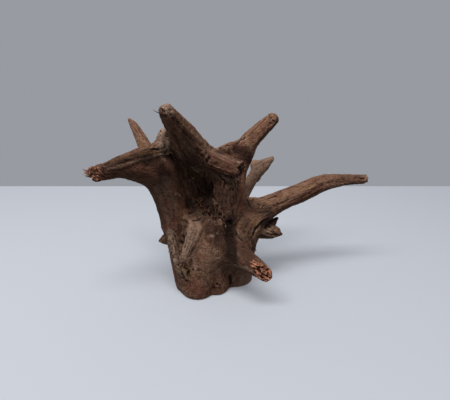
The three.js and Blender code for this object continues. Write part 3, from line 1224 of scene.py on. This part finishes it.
@dataclass
class WoodRelief:
    """What weather and breakage have raised and worn on the surface, in millimetres.

    Attributes:
        swell: Height of the broad unevenness.
        rib: Height of the ribs along the grain, where they are strongest.
        fibre: Height of the fine grain.
        crack: Depth of the drying cracks.
        lump: Height of the lumps that ignore the grain.
        fleck: Depth of the short dents along the grain.
        crumb: Height of the crumbs in a rough place.
        torn: Height of the fibres on a torn face.
    """

    swell: float = 1.1
    rib: float = 1.7
    fibre: float = 0.7
    crack: float = 1.6
    lump: float = 0.5
    fleck: float = 0.55
    crumb: float = 2.6
    torn: float = 2.0

    SWELLS = GrainNoise(11, 17.0, 70.0)
    BROAD_RIBS = GrainNoise(12, 8.5, 95.0)
    SLIM_RIBS = GrainNoise(13, 3.4, 50.0)
    SPLITS = GrainNoise(14, 10.0, 85.0)
    SPLIT_WOOD = GrainNoise(15, 24.0, 60.0)
    FLECKS = GrainNoise(20, 3.2, 12.0)
    LUMP_SIZE = 7.0
    CRUMB_SIZE = 6.0
    TUFT_SIZE = (3.8, 3.8, 14.0)
    VALLEY = 2.4
    RIB_MEAN = 0.6
    DEEPER = 0.6

    def height(self, points: Array, wood: Wood, marks: Markings) -> Array:
        """How far each place stands out from the smooth form.

        Broad swells, ribs and fine fibres are noise in grain coordinates, drawn out along the
        strand. A rib falls to a sharp valley wherever its noise is zero. Cracks are thin bands
        where a stretched noise is near zero, and flecks are short dents where another is high.
        Crumbs are steep noise in plain coordinates. Everything fades out just above the ground.

        Args:
            points: Where the surface is.
            wood: The grain and the character there.
            marks: What the marks do there.

        Returns:
            Heights in millimetres.
        """
        grain = wood.grain
        swell = self.swell * self.SWELLS(grain)
        broad = np.minimum(self.VALLEY * np.abs(self.BROAD_RIBS(grain)), 1.0)
        slim = np.minimum(self.VALLEY * np.abs(self.SLIM_RIBS(grain)), 1.0)
        ribs = self.rib * (broad - self.RIB_MEAN) + self.fibre * (slim - self.RIB_MEAN)
        split = np.abs(self.SPLITS(grain))
        where = smooth_step(0.1, 0.45, self.SPLIT_WOOD(grain))
        cracks = -self.crack * smooth_step(0.07, 0.0, split) * where
        lumps = self.lump * GradientNoise(16).layers(points / self.LUMP_SIZE, 3, self.DEEPER)
        flecks = -self.fleck * smooth_step(0.15, 0.5, self.FLECKS(grain))
        rough = np.clip(np.maximum(wood.rough, marks.rough), 0.0, 1.0)
        steep = 1.0 - 2.2 * np.abs(GradientNoise(17).layers(points / self.CRUMB_SIZE, 2, self.DEEPER))
        crumbs = self.crumb * rough ** 1.5 * 0.5 * steep
        face = smooth_step(3.0, 0.5, wood.under)
        tufts = self.torn * GradientNoise(19).layers(grain / self.TUFT_SIZE, 2)
        whole = swell + wood.ribs * ribs + (0.15 + wood.ribs) * cracks + crumbs
        whole += flecks * (0.1 + wood.ribs + rough) + lumps * (0.5 + wood.ribs)
        height = whole * (1.0 - face) + tufts * face + marks.height
        return height * smooth_step(0.5, 5.0, points[:, 2])


class Shading:
    """The nodes of one material or of the world, and the one way that they are made."""

    def __init__(self, tree: bpy.types.NodeTree) -> None:
        """Empties a node tree to build in."""
        self.tree = tree
        self.tree.nodes.clear()

    @classmethod
    def material(cls, name: str) -> tuple[bpy.types.Material, Shading]:
        """Makes a material with no nodes, and the shading to build in it.

        Args:
            name: What it is called.

        Returns:
            Both.
        """
        material = bpy.data.materials.new(name)
        material.use_nodes = True
        return material, cls(material.node_tree)

    def node(self, kind: str, settings: dict[str, object] | None = None,
             inputs: dict[str | int, object] | None = None) -> bpy.types.Node:
        """Adds a node.

        Args:
            kind: The node's type.
            settings: Its properties, such as a Math node's operation.
            inputs: Values or links for its sockets, by name or number.

        Returns:
            The node.
        """
        node = self.tree.nodes.new(kind)
        for key, value in (settings or {}).items():
            setattr(node, key, value)
        for key, value in (inputs or {}).items():
            socket = node.inputs[key]
            if isinstance(value, Value):
                self.tree.links.new(value.socket, socket)
            elif isinstance(value, bpy.types.NodeSocket):
                self.tree.links.new(value, socket)
            else:
                socket.default_value = value
        return node

    def attribute(self, name: str) -> bpy.types.Node:
        """Reads one of the piece's own attributes."""
        return self.node("ShaderNodeAttribute", {"attribute_name": name})

    def level(self, name: str) -> Value:
        """Reads one of the piece's own attributes as a number."""
        return Value(self, self.attribute(name).outputs["Fac"])

    def noise(self, at: bpy.types.NodeSocket, scale: tuple[float, float, float], detail: float = 3.0,
              roughness: float = 0.55) -> Value:
        """Noise with a given number of features to a metre.

        Args:
            at: The coordinates, in metres.
            scale: How many features there are along each coordinate.
            detail: How many finer layers are added.
            roughness: How strong each layer is against the one before.

        Returns:
            The noise, from 0 to 1.
        """
        stretched = self.node("ShaderNodeVectorMath", {"operation": "MULTIPLY"}, {0: at, 1: scale})
        inputs = {"Vector": stretched.outputs[0], "Scale": 1.0, "Detail": detail, "Roughness": roughness}
        return Value(self, self.node("ShaderNodeTexNoise", {}, inputs).outputs["Fac"])

    def blend(self, factor: Value | float, a: object, b: object) -> bpy.types.NodeSocket:
        """Mixes two colours."""
        settings = {"data_type": "RGBA", "clamp_factor": True}
        return self.node("ShaderNodeMix", settings, {0: factor, 6: a, 7: b}).outputs[2]

    def surface(self, inputs: dict[str | int, object]) -> None:
        """Ends a material in a Principled shader with these inputs."""
        shader = self.node("ShaderNodeBsdfPrincipled", {}, inputs)
        self.node("ShaderNodeOutputMaterial", {}, {"Surface": shader.outputs[0]})


@dataclass(frozen=True)
class Value:
    """A number that varies over a surface, for use in Python expressions.

    Attributes:
        shading: The material that the expression's Math nodes go into.
        socket: The socket that gives the number.
    """

    shading: Shading
    socket: bpy.types.NodeSocket

    def math(self, operation: str, first: Value | float, second: Value | float) -> Value:
        """Adds a Math node."""
        node = self.shading.node("ShaderNodeMath", {"operation": operation}, {0: first, 1: second})
        return Value(self.shading, node.outputs[0])

    def __add__(self, other: Value | float) -> Value:
        """The sum."""
        return self.math("ADD", self, other)

    def __radd__(self, other: float) -> Value:
        """The sum, with the number first."""
        return self.math("ADD", other, self)

    def __sub__(self, other: Value | float) -> Value:
        """The difference."""
        return self.math("SUBTRACT", self, other)

    def __rsub__(self, other: float) -> Value:
        """The difference, with the number first."""
        return self.math("SUBTRACT", other, self)

    def __mul__(self, other: Value | float) -> Value:
        """The product."""
        return self.math("MULTIPLY", self, other)

    def __rmul__(self, other: float) -> Value:
        """The product, with the number first."""
        return self.math("MULTIPLY", other, self)

    def step(self, low: float, high: float) -> Value:
        """Rises smoothly from 0 at low to 1 at high.

        Args:
            low: Where it is 0.
            high: Where it is 1; this may be below low, so that it falls.

        Returns:
            A number from 0 to 1.
        """
        inputs = {0: self, 1: min(low, high), 2: max(low, high)}
        node = self.shading.node("ShaderNodeMapRange", {"interpolation_type": "SMOOTHSTEP"}, inputs)
        rise = Value(self.shading, node.outputs[0])
        return rise if low < high else 1.0 - rise


Colour = tuple[float, float, float, float]


def rgb(red: int, green: int, blue: int) -> Colour:
    """A screen colour as the linear light that Blender's sockets take.

    Args:
        red: The red level, from 0 to 255.
        green: The green level.
        blue: The blue level.

    Returns:
        Red, green, blue and full cover.
    """
    def linear(level: int) -> float:
        """One channel, by the usual screen curve."""
        s = level / 255.0
        return s / 12.92 if s <= 0.04045 else ((s + 0.055) / 1.055) ** 2.4
    return linear(red), linear(green), linear(blue), 1.0


@dataclass(frozen=True)
class WeatheredWood:
    """Dry root wood: matte brown, weathered grey and painted highlight on what stands out, grime and painted
    shade in what doesn't.

    Attributes:
        brown: The wood's middle colour.
        dark: Its dark streaks.
        tan: Its pale streaks.
        grey: What weather has bleached; also the colour of painted highlights.
        red: Reddish patches, where bark has rubbed off.
        dirt_and_shade: Grime in cracks and hollows, and the painted shade there.
        torn: Fresh fibres on a torn face.
        torn_dark: The gaps between them.
        ochre: Yellowish rot in knots.
    """

    brown: Colour = rgb(112, 81, 63)
    dark: Colour = rgb(74, 49, 37)
    tan: Colour = rgb(134, 101, 79)
    grey: Colour = rgb(148, 122, 104)
    red: Colour = rgb(100, 58, 44)
    dirt_and_shade: Colour = rgb(28, 16, 11)
    torn: Colour = rgb(168, 113, 86)
    torn_dark: Colour = rgb(44, 20, 13)
    ochre: Colour = rgb(128, 94, 58)

    def material(self) -> bpy.types.Material:
        """Builds the material on the skin's own attributes.

        A tone, the sum of noises along the grain and across it, picks between dark, brown and tan.
        Grey, red, yellow and grime are then laid over it where attributes or patches call for them, with
        painted highlight on raised relief and painted shade in cracks, dents and hollows.

        Returns:
            The material.
        """
        material, shading = Shading.material("weathered_wood")
        grain = shading.attribute("grain").outputs["Vector"]
        place = shading.node("ShaderNodeTexCoord").outputs["Object"]
        relief = shading.level("relief")
        shade_openness = shading.level("shade_openness")
        torn = shading.level("torn")
        grainy = shading.level("ribbed").step(0.0, 0.8)
        bleached = shading.level("bleached")

        streaks = shading.noise(grain, (230.0, 230.0, 16.0), detail=4.0)
        fine = shading.noise(grain, (900.0, 900.0, 50.0), detail=3.0)
        patches = shading.noise(place, (34.0, 34.0, 34.0), detail=4.0)
        mottle = shading.noise(place, (170.0, 170.0, 150.0), detail=4.0, roughness=0.65)
        speckle = shading.noise(place, (420.0, 420.0, 420.0), detail=3.0, roughness=0.6)
        fleck = shading.noise(grain, (430.0, 430.0, 110.0), detail=2.0)
        hue = shading.noise(place, (95.0, 95.0, 95.0), detail=3.0, roughness=0.6)
        strand = shading.noise(grain, (420.0, 420.0, 28.0), detail=2.0)
        tone = mottle + grainy * (streaks - mottle) * 0.8 + (0.4 + 0.5 * grainy) * (speckle - 0.5)
        tone = tone + 0.5 * (fleck - 0.5) + (0.2 + 1.15 * grainy) * (strand - 0.5)

        colour = shading.blend(tone.step(0.32, 0.54), self.dark, self.brown)
        colour = shading.blend(tone.step(0.5, 0.72) * 0.8, colour, self.tan)
        colour = shading.blend(bleached.step(0.0, 1.0) * (0.3 + 0.9 * patches), colour, self.grey)
        colour = shading.blend(bleached.step(0.1, -1.0) * 0.9, colour, self.dark)
        colour = shading.blend(hue.step(0.47, 0.34) * 0.4, colour, self.red)
        colour = shading.blend(hue.step(0.54, 0.68) * 0.4, colour, self.ochre)
        reddish = shading.level("reddish") * patches.step(0.4, 0.62)
        colour = shading.blend(reddish * 0.8, colour, self.red)
        colour = shading.blend(fine.step(0.58, 0.38) * (0.18 + 0.37 * grainy), colour, self.dark)
        # Painted highlight: raised relief turns paler grey, on top of weathering.
        colour = shading.blend(relief.step(0.05, 0.6) * (0.2 + 0.45 * speckle), colour, self.grey)
        colour = shading.blend(shading.level(RED.value) * (0.55 + 0.6 * speckle), colour, self.red)
        colour = shading.blend(shading.level(OCHRE.value) * (0.2 + 0.9 * speckle), colour, self.ochre)
        # Grime and painted shade: the dark marks, many of them in hollows, cracks and under overhangs.
        colour = shading.blend(shading.level(DARK.value) * 0.92, colour, self.dirt_and_shade)
        # Bleaching, and painted highlight where pale marks lift shaded faces.
        colour = shading.blend(shading.level(PALE.value) * (0.3 + 0.8 * speckle), colour, self.grey)
        # Painted shade: cracks and dents darken by how deep they are.
        colour = shading.blend(relief.step(-0.06, -0.6) * 0.85, colour, self.dirt_and_shade)
        # Painted shade: hollows darken by how closed in they are.
        colour = shading.blend(shade_openness.step(0.7, 0.15) * 0.85, colour, self.dirt_and_shade)
        holes = shading.noise(grain, (230.0, 230.0, 80.0), detail=1.0)
        fibres = (0.4 * fine + 0.6 * fleck).step(0.42, 0.52) * holes.step(0.58, 0.5)
        fresh = shading.blend(fibres, self.torn_dark, self.torn)
        colour = shading.blend(torn, colour, fresh)

        bump = shading.node("ShaderNodeBump", {}, {
            "Strength": 0.8, "Distance": 0.0028,
            "Height": (fine + strand) * (0.3 + 0.4 * grainy) + speckle * 0.8 + fleck * 0.7 + mottle * 0.6,
        })
        shading.surface({
            "Base Color": colour, "Roughness": 0.82 + 0.12 * speckle, "Normal": bump.outputs[0],
            "Specular IOR Level": 0.12,
        })
        return material


def make_piece(name: str, points: Array, faces: list[list[int]], varying: dict[str, Array],
               material: bpy.types.Material) -> bpy.types.Object:
    """Makes a smooth-shaded piece that sits at the origin.

    Args:
        name: What it is called.
        points: Its points in millimetres.
        faces: The points around each face.
        varying: The attributes that its material reads, with one row for each point.
        material: Its material.

    Returns:
        The piece.
    """
    mesh = bpy.data.meshes.new(name)
    mesh.from_pydata(points * METRES, [], faces)
    mesh.polygons.foreach_set("use_smooth", np.ones(len(faces), dtype=bool))
    for key, values in varying.items():
        vector = values.ndim == 2
        layer = mesh.attributes.new(key, "FLOAT_VECTOR" if vector else "FLOAT", "POINT")
        layer.data.foreach_set("vector" if vector else "value", values.astype(np.float32).ravel())
    mesh.update()
    mesh.materials.append(material)
    piece = bpy.data.objects.new(name, mesh)
    bpy.context.scene.collection.objects.link(piece)
    LOG.info("%s: %d faces", name, len(faces))
    return piece


@dataclass(frozen=True)
class Tuft:
    """Loose fibres or flakes that stand out of the wood together.

    Attributes:
        path: The picture points (across, down) along which they are rooted.
        count: How many there are.
        length: How long they are, in millimetres.
        lean: The direction that they lean in.
        stray: How far each strays from it.
        spread: How far their roots scatter from the path, in picture points.
        width: How thick they are at the root, in millimetres.
        flat: How much wider they are than thick.
        pale: How pale they are, from 0 to 1.
        fresh: How orange they are, from 0 to 1.
    """

    path: str
    count: int
    length: float
    lean: tuple[float, float, float]
    stray: float = 0.5
    spread: float = 1.5
    width: float = 0.45
    flat: float = 1.0
    pale: float = 0.5
    fresh: float = 0.0


TUFTS = [
    Tuft("88.5,168.5 88.5,173 91,177", 16, 4.5, (-0.95, -0.15, 0), 0.25, 0.8, 0.6, pale=0.9, fresh=0.3),
    Tuft("92,171 99,176", 22, 3, (-0.5, -0.8, 0.2), 0.5, 3, 0.6, 2, pale=0.8, fresh=0.9),
    Tuft("161.5,114.4 161.5,114.5", 1, 7, (-1, 0, 0.5), 0, 0, 0.5, pale=0),
    Tuft("162,108 166,115 174,119", 16, 2.2, (-0.3, -0.6, 0.7), 0.6, 2, 0.7, 1.8, pale=0.45),
    Tuft("190,168 199,168", 16, 10, (0.9, -0.6, -0.1), 0.25, 2.5, 0.5, 1.3, pale=1.6),
    Tuft("188,179 194,179", 9, 8, (0.8, -0.7, 0.1), 0.4, 1.5, 0.5, 1.3, pale=1.3),
    Tuft("197,192 203,202 208,211 213,219", 48, 8, (0.2, -0.8, -0.1), 0.9, 5, 0.9, 2.2, pale=0, fresh=0.25),
    Tuft("199,196 206,206 214,219", 16, 8, (0.1, -0.9, 0), 0.8, 4.5, 0.5, 1.4, pale=0.65),
    Tuft("209,197 216,208 219,219", 36, 9, (0.1, -0.5, -0.8), 0.5, 4, 0.5, 1.4, pale=0.3),
    Tuft("200,198 207,208 212,216", 16, 7, (0, -1, 0.1), 0.8, 4.5, 1, 2.4, pale=0),
    Tuft("218,186 220,206", 24, 9, (0, -0.12, -1), 0.12, 3.5, 0.5, 1.6, pale=0.5),
    Tuft("229,184 232,210", 30, 9, (0, -0.12, -1), 0.12, 4, 0.5, 1.6, pale=0.42),
    Tuft("226,178 232,179.5 238,179", 16, 4.5, (0.4, -0.7, -0.5), 0.4, 1, 0.9, 2.5, pale=0.8),
    Tuft("219,176 224,180", 8, 4, (0.2, -0.7, -0.5), 0.6, 1.5, 0.6, 1.8, pale=0.7),
    Tuft("222,150 228,151 232,149", 14, 2.5, (-0.6, -0.8, 0.2), 0.5, 2, 0.8, 2.2, pale=0.5),
    Tuft("268,117 274,119", 14, 2.5, (0.6, -0.1, 0.7), 0.4, 1.8, 0.8, 2, pale=0.7),
    Tuft("364.5,175.5 365,180.5", 12, 2.2, (0.95, -0.2, 0.1), 0.25, 1, 0.7, 1.5, pale=0.5),
    Tuft("250,204 262,208 276,204", 20, 6, (0.9, -0.15, 0.35), 0.12, 2.5, 0.6, 2.2, pale=0.5),
    Tuft("262,231 269,229 274,232", 8, 4, (0.85, -0.4, -0.2), 0.2, 1.5, 0.7, 2.4, pale=0.5),
    Tuft("252,237 253,246", 18, 5, (0.2, -0.4, -0.9), 0.5, 1.6, 0.7, 2, pale=0.1),
    Tuft("253,262 259,266 266,274", 30, 3.5, (0.45, -0.8, 0.2), 0.3, 2.6, 0.7, 1.6, pale=0.8, fresh=1),
    Tuft("191,226 189,242 184,256", 18, 9, (-0.15, -0.05, -1), 0.06, 3, 0.5, 1.8, pale=0.65),
    Tuft("179,262 184,264", 18, 5, (-0.4, -0.4, -0.8), 0.25, 1.5, 0.6, 1.6, pale=0.5),
    Tuft("174,234 179,248 178,256", 30, 6, (0.15, -0.25, -0.95), 0.2, 3, 0.6, 2, pale=0.3),
    Tuft("170,234 171,246 174,260", 22, 5, (-0.2, -0.2, -0.95), 0.12, 1.5, 0.5, 1.6, pale=0.7),
    Tuft("182,270 188,278", 14, 5, (0.5, -0.3, -0.75), 0.3, 2, 0.5, 1.6, pale=0.4),
    Tuft("212,285 220,286", 12, 3, (0, -0.9, 0.3), 0.6, 2.5, 0.7, 2, pale=0.1),
    Tuft("234,229 241,240", 14, 5, (0.3, -0.4, -0.85), 0.3, 2, 0.6, 1.8, pale=0.5),
    Tuft("218,218 224,226", 16, 5, (0, -0.5, -0.8), 0.5, 2.5, 0.6, 2, pale=0.4),
]


@dataclass(frozen=True)
class FibreFinish:
    """Dry torn fibre, from dark red-brown to pale tan.

    Attributes:
        dark: The darkest fibre.
        middle: The middle one.
        pale: The palest.
        fresh: Fibre that was torn not long ago.
    """

    dark: Colour = rgb(44, 25, 18)
    middle: Colour = rgb(92, 62, 48)
    pale: Colour = rgb(158, 130, 106)
    fresh: Colour = rgb(150, 94, 68)

    def material(self) -> bpy.types.Material:
        """Builds the material on each fibre's own shade.

        Returns:
            The material.
        """
        material, shading = Shading.material("loose_fibre")
        place = shading.node("ShaderNodeTexCoord").outputs["Object"]
        speckle = shading.noise(place, (900.0, 900.0, 900.0), detail=2.0)
        shade = shading.level("shade") + 0.35 * (speckle - 0.5)
        colour = shading.blend(shade.step(0.0, 0.5), self.dark, self.middle)
        colour = shading.blend(shade.step(0.5, 1.0), colour, self.pale)
        colour = shading.blend(shading.level("fresh") * (0.4 + 0.6 * speckle), colour, self.fresh)
        shading.surface({"Base Color": colour, "Roughness": 0.85, "Specular IOR Level": 0.2})
        return material


@dataclass
class LooseFibres:
    """Every tuft of fibres, as one piece.

    Attributes:
        tufts: The tufts.
        rings: Sections along a fibre.
        sides: Corners of a section.
        sunk: How far a fibre starts below the surface, in millimetres.
        curl: How far its tip bends away, as a share of its length.
        finish: The fibres' colours.
    """

    tufts: list[Tuft]
    rings: int = 6
    sides: int = 5
    sunk: float = 1.6
    curl: float = 0.45
    finish: FibreFinish = field(default_factory=FibreFinish)

    SEED = 41
    LENGTHS = (0.5, 1.2)
    WIDTHS = (0.6, 1.3)
    SHADE_SPREAD = 0.2
    TIP = 0.02
    TAPER = 0.7

    def build(self, form: WoodField) -> bpy.types.Object:
        """Roots the fibres in the surface and makes one mesh of them.

        A fibre's middle line is root + length (t direction + curl t^2 bend), for t from 0 to 1, and
        its thickness falls off as (1 - t)^0.7. Each section is an ellipse across the line.

        Args:
            form: The field that they are rooted in.

        Returns:
            The piece.
        """
        random = np.random.default_rng(self.SEED)
        count = [tuft.count for tuft in self.tufts]
        total = sum(count)

        def each(setting: str) -> Array:
            """One of the tufts' settings, for every fibre."""
            return np.repeat([getattr(tuft, setting) for tuft in self.tufts], count, axis=0)

        places = np.concatenate([self.roots(tuft, random) for tuft in self.tufts])
        view = Viewpoint()
        root = view.touch(form, places) + self.sunk * view.directions(places)
        direction = unit(unit(each("lean")) + each("stray")[:, None] * random.normal(size=(total, 3)))
        bend = np.cross(direction, unit(random.normal(size=(total, 3))))
        length = each("length") * random.uniform(*self.LENGTHS, total)
        width = each("width") * random.uniform(*self.WIDTHS, total)
        pale = each("pale") + random.normal(0.0, self.SHADE_SPREAD, total)

        t = np.linspace(0.0, 1.0, self.rings)[None, :, None]
        reach = (length + self.sunk)[:, None, None]
        line = root[:, None] + reach * (t * direction[:, None] + self.curl * t ** 2 * bend[:, None])
        across = unit(np.cross(direction, bend))
        thick = width[:, None, None] * np.maximum(1.0 - t, self.TIP) ** self.TAPER
        angle = np.linspace(0.0, 2.0 * math.pi, self.sides, endpoint=False)
        wide = across[:, None, None] * np.cos(angle)[:, None] * each("flat")[:, None, None, None]
        thin = unit(bend)[:, None, None] * np.sin(angle)[:, None]
        points = line[:, :, None] + thick[..., None] * (wide + thin)
        caps = np.arange(total)[:, None] * self.rings * self.sides
        first = caps + np.arange(self.sides)[::-1]
        last = caps + (self.rings - 1) * self.sides + np.arange(self.sides)
        faces = self.sheath(total).tolist() + first.tolist() + last.tolist()
        shades = {"shade": pale, "fresh": each("fresh")}
        varying = {
            name: np.repeat(np.clip(values, 0.0, 1.0), self.rings * self.sides)
            for name, values in shades.items()
        }
        return make_piece("loose_fibres", points.reshape(-1, 3), faces, varying, self.finish.material())

    @staticmethod
    def roots(tuft: Tuft, random: np.random.Generator) -> Array:
        """Picture points scattered along a tuft's path.

        Args:
            tuft: The tuft.
            random: What draws them.

        Returns:
            Rows of (across, down).
        """
        path = spots(tuft.path)
        at = random.uniform(0.0, len(path) - 1.0, tuft.count)
        stops = np.arange(len(path))
        places = np.stack([np.interp(at, stops, path[:, 0]), np.interp(at, stops, path[:, 1])], axis=1)
        return places + random.normal(0.0, 0.5, (tuft.count, 2)) * tuft.spread

    def sheath(self, total: int) -> Array:
        """The four-sided faces around every fibre, turned to face outwards.

        Args:
            total: How many fibres there are.

        Returns:
            The four points around each face.
        """
        ring, side = np.meshgrid(np.arange(self.rings - 1), np.arange(self.sides), indexing="ij")
        onward = (side + 1) % self.sides
        low = ring * self.sides
        high = low + self.sides
        one = np.stack([low + side, low + onward, high + onward, high + side], axis=-1).reshape(-1, 4)
        start = np.arange(total)[:, None, None] * self.rings * self.sides
        return (start + one).reshape(-1, 4)


@dataclass
class DryRoot:
    """The whole root: its form, its skin and its finish.

    Attributes:
        relief: What is raised on the smooth form.
        finish: The wood's colours.
    """

    relief: WoodRelief = field(default_factory=WoodRelief)
    finish: WeatheredWood = field(default_factory=WeatheredWood)

    COARSE = 4
    COARSE_REACH = 32.0
    SETTLING = 3
    SMOOTHING = 6
    RELIEF_LIMIT = 1.5
    OPEN_STEPS = (4.0, 9.0, 18.0)

    def build(self, form: WoodField) -> bpy.types.Object:
        """Builds the skin and dresses it.

        Args:
            form: The field to draw it through.

        Returns:
            The object that stands for the construction model's solid.
        """
        spacing = SKIN_SPACING
        coarse, skin = self.draw_skin(form, spacing)
        wood = form.wood_at(skin.points)
        marks = Markings.on(skin.points, form, MARKS)
        shade_openness = self.shade_openness(coarse, skin)
        height = self.relief.height(skin.points, wood, marks)
        smooth = height
        for _ in range(self.SMOOTHING):
            smooth = skin.neighbour_mean(smooth)
        skin.points += skin.normals() * height[:, None]
        skin.points[:, 2] = np.maximum(skin.points[:, 2], 0.0)
        varying = {
            "grain": wood.grain * METRES,
            "relief": np.clip(height - smooth, -self.RELIEF_LIMIT, self.RELIEF_LIMIT),
            # The mask for painted shade in hollows.
            "shade_openness": shade_openness,
            "ribbed": wood.ribs,
            "reddish": wood.red,
            "bleached": wood.pale,
            "torn": smooth_step(2.6, 0.8, wood.under) * wood.fresh,
        }
        varying.update({tint.value: values for tint, values in marks.tints.items()})
        return make_piece("root_skin", skin.points, skin.quads.tolist(), varying, self.finish.material())

    def draw_skin(self, form: WoodField, spacing: float) -> tuple[Lattice, Skin]:
        """Samples the form, finely only near its surface, and draws the skin through it.

        Args:
            form: The field.
            spacing: The skin's mesh size in millimetres.

        Returns:
            The middle lattice, which reaches well clear of the surface, and the skin.
        """
        step = spacing * self.COARSE
        shape = np.ceil((form.high - form.low) / step).astype(int) + 1
        index = np.stack(np.meshgrid(*(np.arange(n) for n in shape), indexing="ij"), axis=-1)
        points = form.low + index.reshape(-1, 3) * step
        values = form.distance(points, self.COARSE_REACH).reshape(shape)
        middle = Lattice(form.low, step, values.astype(np.float32)).finer(2)
        middle.refine(form, band=step * 1.2)
        fine = middle.finer(2)
        fine.refine(form, band=spacing * 1.6)
        skin = Skin.through(fine)
        skin.settle(form, self.SETTLING)
        return middle, skin

    def shade_openness(self, lattice: Lattice, skin: Skin) -> Array:
        """How open the surface is, from 0 deep in a hollow to 1 in the clear; the wood's material paints
        shade where it is low.

        At a few distances out along the normal, the field is divided by that distance. In the
        clear each ratio is 1, and in a hollow the opposite wall makes it less.

        Args:
            lattice: The field's values.
            skin: The surface.

        Returns:
            One number for each point.
        """
        normal = skin.normals()
        total = np.zeros(len(skin.points))
        for step in self.OPEN_STEPS:
            total += np.clip(lattice.read(skin.points + normal * step) / step, 0.0, 1.0)
        return total / len(self.OPEN_STEPS)


@dataclass
class Studio:
    """A pale table, a plain grey room and soft light, seen from the photograph's place.

    Attributes:
        far_edge: How far behind the root the table ends, in metres.
        table_side: How far the table reaches to the left, to the right and to the front.
        view: Where the photograph was taken from.
        picture: The picture's width, in picture points.
        sensor: The camera sensor's width, in millimetres.
        low_glow: The room's light from all around, as a share of the brightness that the camera sees.
        top_glow: What is added straight above.
        back_glow: What is added behind the root.
        room_colour: The room's colour.
        table_colour: The table's colour.
        table_glow: The table's own faint light.
        lamp_at: Where the overhead light hangs, in metres.
        lamp_size: How wide and how deep it is.
        lamp_power: Its power, in watts.
        lamp_colour: Its colour.
        aim: The place on the root that it is tipped towards.
    """

    far_edge: float = 0.378
    table_side: float = 1.6
    view: Viewpoint = field(default_factory=Viewpoint)
    picture: float = 450.0
    sensor: float = 36.0
    low_glow: float = 0.54
    top_glow: float = 1.1
    back_glow: float = 0.18
    room_colour: Colour = rgb(152, 155, 161)
    table_colour: Colour = rgb(150, 152, 157)
    table_glow: Colour = rgb(106, 108, 112)
    lamp_at: tuple[float, float, float] = (-0.3, -0.46, 1.4)
    lamp_size: tuple[float, float] = (1.2, 0.3)
    lamp_power: float = 27.0
    lamp_colour: tuple[float, float, float] = (0.98, 0.99, 1.0)
    aim: tuple[float, float, float] = (0.03, 0.0, 0.08)

    @staticmethod
    def place(name: str, data: bpy.types.ID, at: tuple[float, ...], tip: float) -> bpy.types.Object:
        """Puts a camera or a light in the scene, tipped forwards from looking straight down.

        Args:
            name: What it is called.
            data: The camera or the light.
            at: Its place, in metres.
            tip: How far it is tipped, in radians.

        Returns:
            The object.
        """
        thing = bpy.data.objects.new(name, data)
        thing.location = at
        thing.rotation_euler = (tip, 0.0, 0.0)
        bpy.context.scene.collection.objects.link(thing)
        return thing

    def camera(self) -> None:
        """Makes the camera and makes it the scene's."""
        data = bpy.data.cameras.new("camera")
        data.sensor_width = self.sensor
        data.lens = self.view.focal / self.picture * self.sensor
        data.clip_start = 0.01
        data.dof.use_dof = False
        at = tuple(METRES * place for place in self.view.at)
        bpy.context.scene.camera = self.place("camera", data, at, math.radians(90.0 - self.view.pitch))

    def table(self) -> None:
        """A pale matte table top with a straight far edge; its own faint glow lifts the shadows on it."""
        side = self.table_side
        back = self.far_edge
        corners = [(-side, -side, 0.0), (side, -side, 0.0), (side, back, 0.0), (-side, back, 0.0)]
        mesh = bpy.data.meshes.new("table_top")
        mesh.from_pydata(corners, [], [(0, 1, 2, 3)])
        material, shading = Shading.material("pale_table")
        shading.surface({
            "Base Color": self.table_colour, "Roughness": 0.7, "Specular IOR Level": 0.1,
            "Emission Color": self.table_glow, "Emission Strength": 1.0,
        })
        mesh.materials.append(material)
        table = bpy.data.objects.new("table_top", mesh)
        table.visible_diffuse = False
        table.visible_shadow = False
        bpy.context.scene.collection.objects.link(table)

    def lamp(self) -> None:
        """A wide, soft light overhead, tipped forwards to the root."""
        data = bpy.data.lights.new("overhead", "AREA")
        data.shape = "RECTANGLE"
        data.size, data.size_y = self.lamp_size
        data.energy = self.lamp_power
        data.color = self.lamp_colour
        x, y, z = np.array(self.aim) - np.array(self.lamp_at)
        self.place("overhead", data, self.lamp_at, math.atan2(math.hypot(x, y), -z))

    def room(self) -> None:
        """A plain grey room, brighter overhead than at the sides, and dim below the table."""
        world = bpy.data.worlds.new("room")
        world.use_nodes = True
        light = Shading(world.node_tree)
        direction = light.node("ShaderNodeTexCoord").outputs["Generated"]
        parts = light.node("ShaderNodeSeparateXYZ", {}, {0: direction}).outputs
        up = Value(light, parts["Z"])
        back = Value(light, parts["Y"])
        glow = self.low_glow + self.top_glow * up.step(-0.05, 0.95)
        glow = glow + self.back_glow * back.step(-0.2, 0.9) * up.step(-0.15, 0.1)
        seen = Value(light, light.node("ShaderNodeLightPath").outputs["Is Camera Ray"])
        strength = glow + seen * (1.0 - glow)
        inputs = {"Color": self.room_colour, "Strength": strength}
        background = light.node("ShaderNodeBackground", {}, inputs)
        light.node("ShaderNodeOutputWorld", {}, {"Surface": background.outputs[0]})
        bpy.context.scene.world = world

    def build(self) -> None:
        """Sets up the camera, the table, the room, the light and plain colours."""
        self.camera()
        self.table()
        self.room()
        self.lamp()
        view = bpy.context.scene.view_settings
        view.view_transform = "Standard"
        view.look = "None"


def main() -> None:
    """Loads the frame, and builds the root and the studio."""
    logging.basicConfig(level=logging.INFO, format="%(name)s: %(message)s")
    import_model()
    Studio().build()
    form = WoodField(FOOT_AND_TRUNK + ARMS + STUBS, GROOVES)
    root = DryRoot().build(form)
    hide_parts(NODE)
    for piece in (root, LooseFibres(TUFTS).build(form)):
        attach(piece, BODY)


if __name__ == "__main__":
    main()
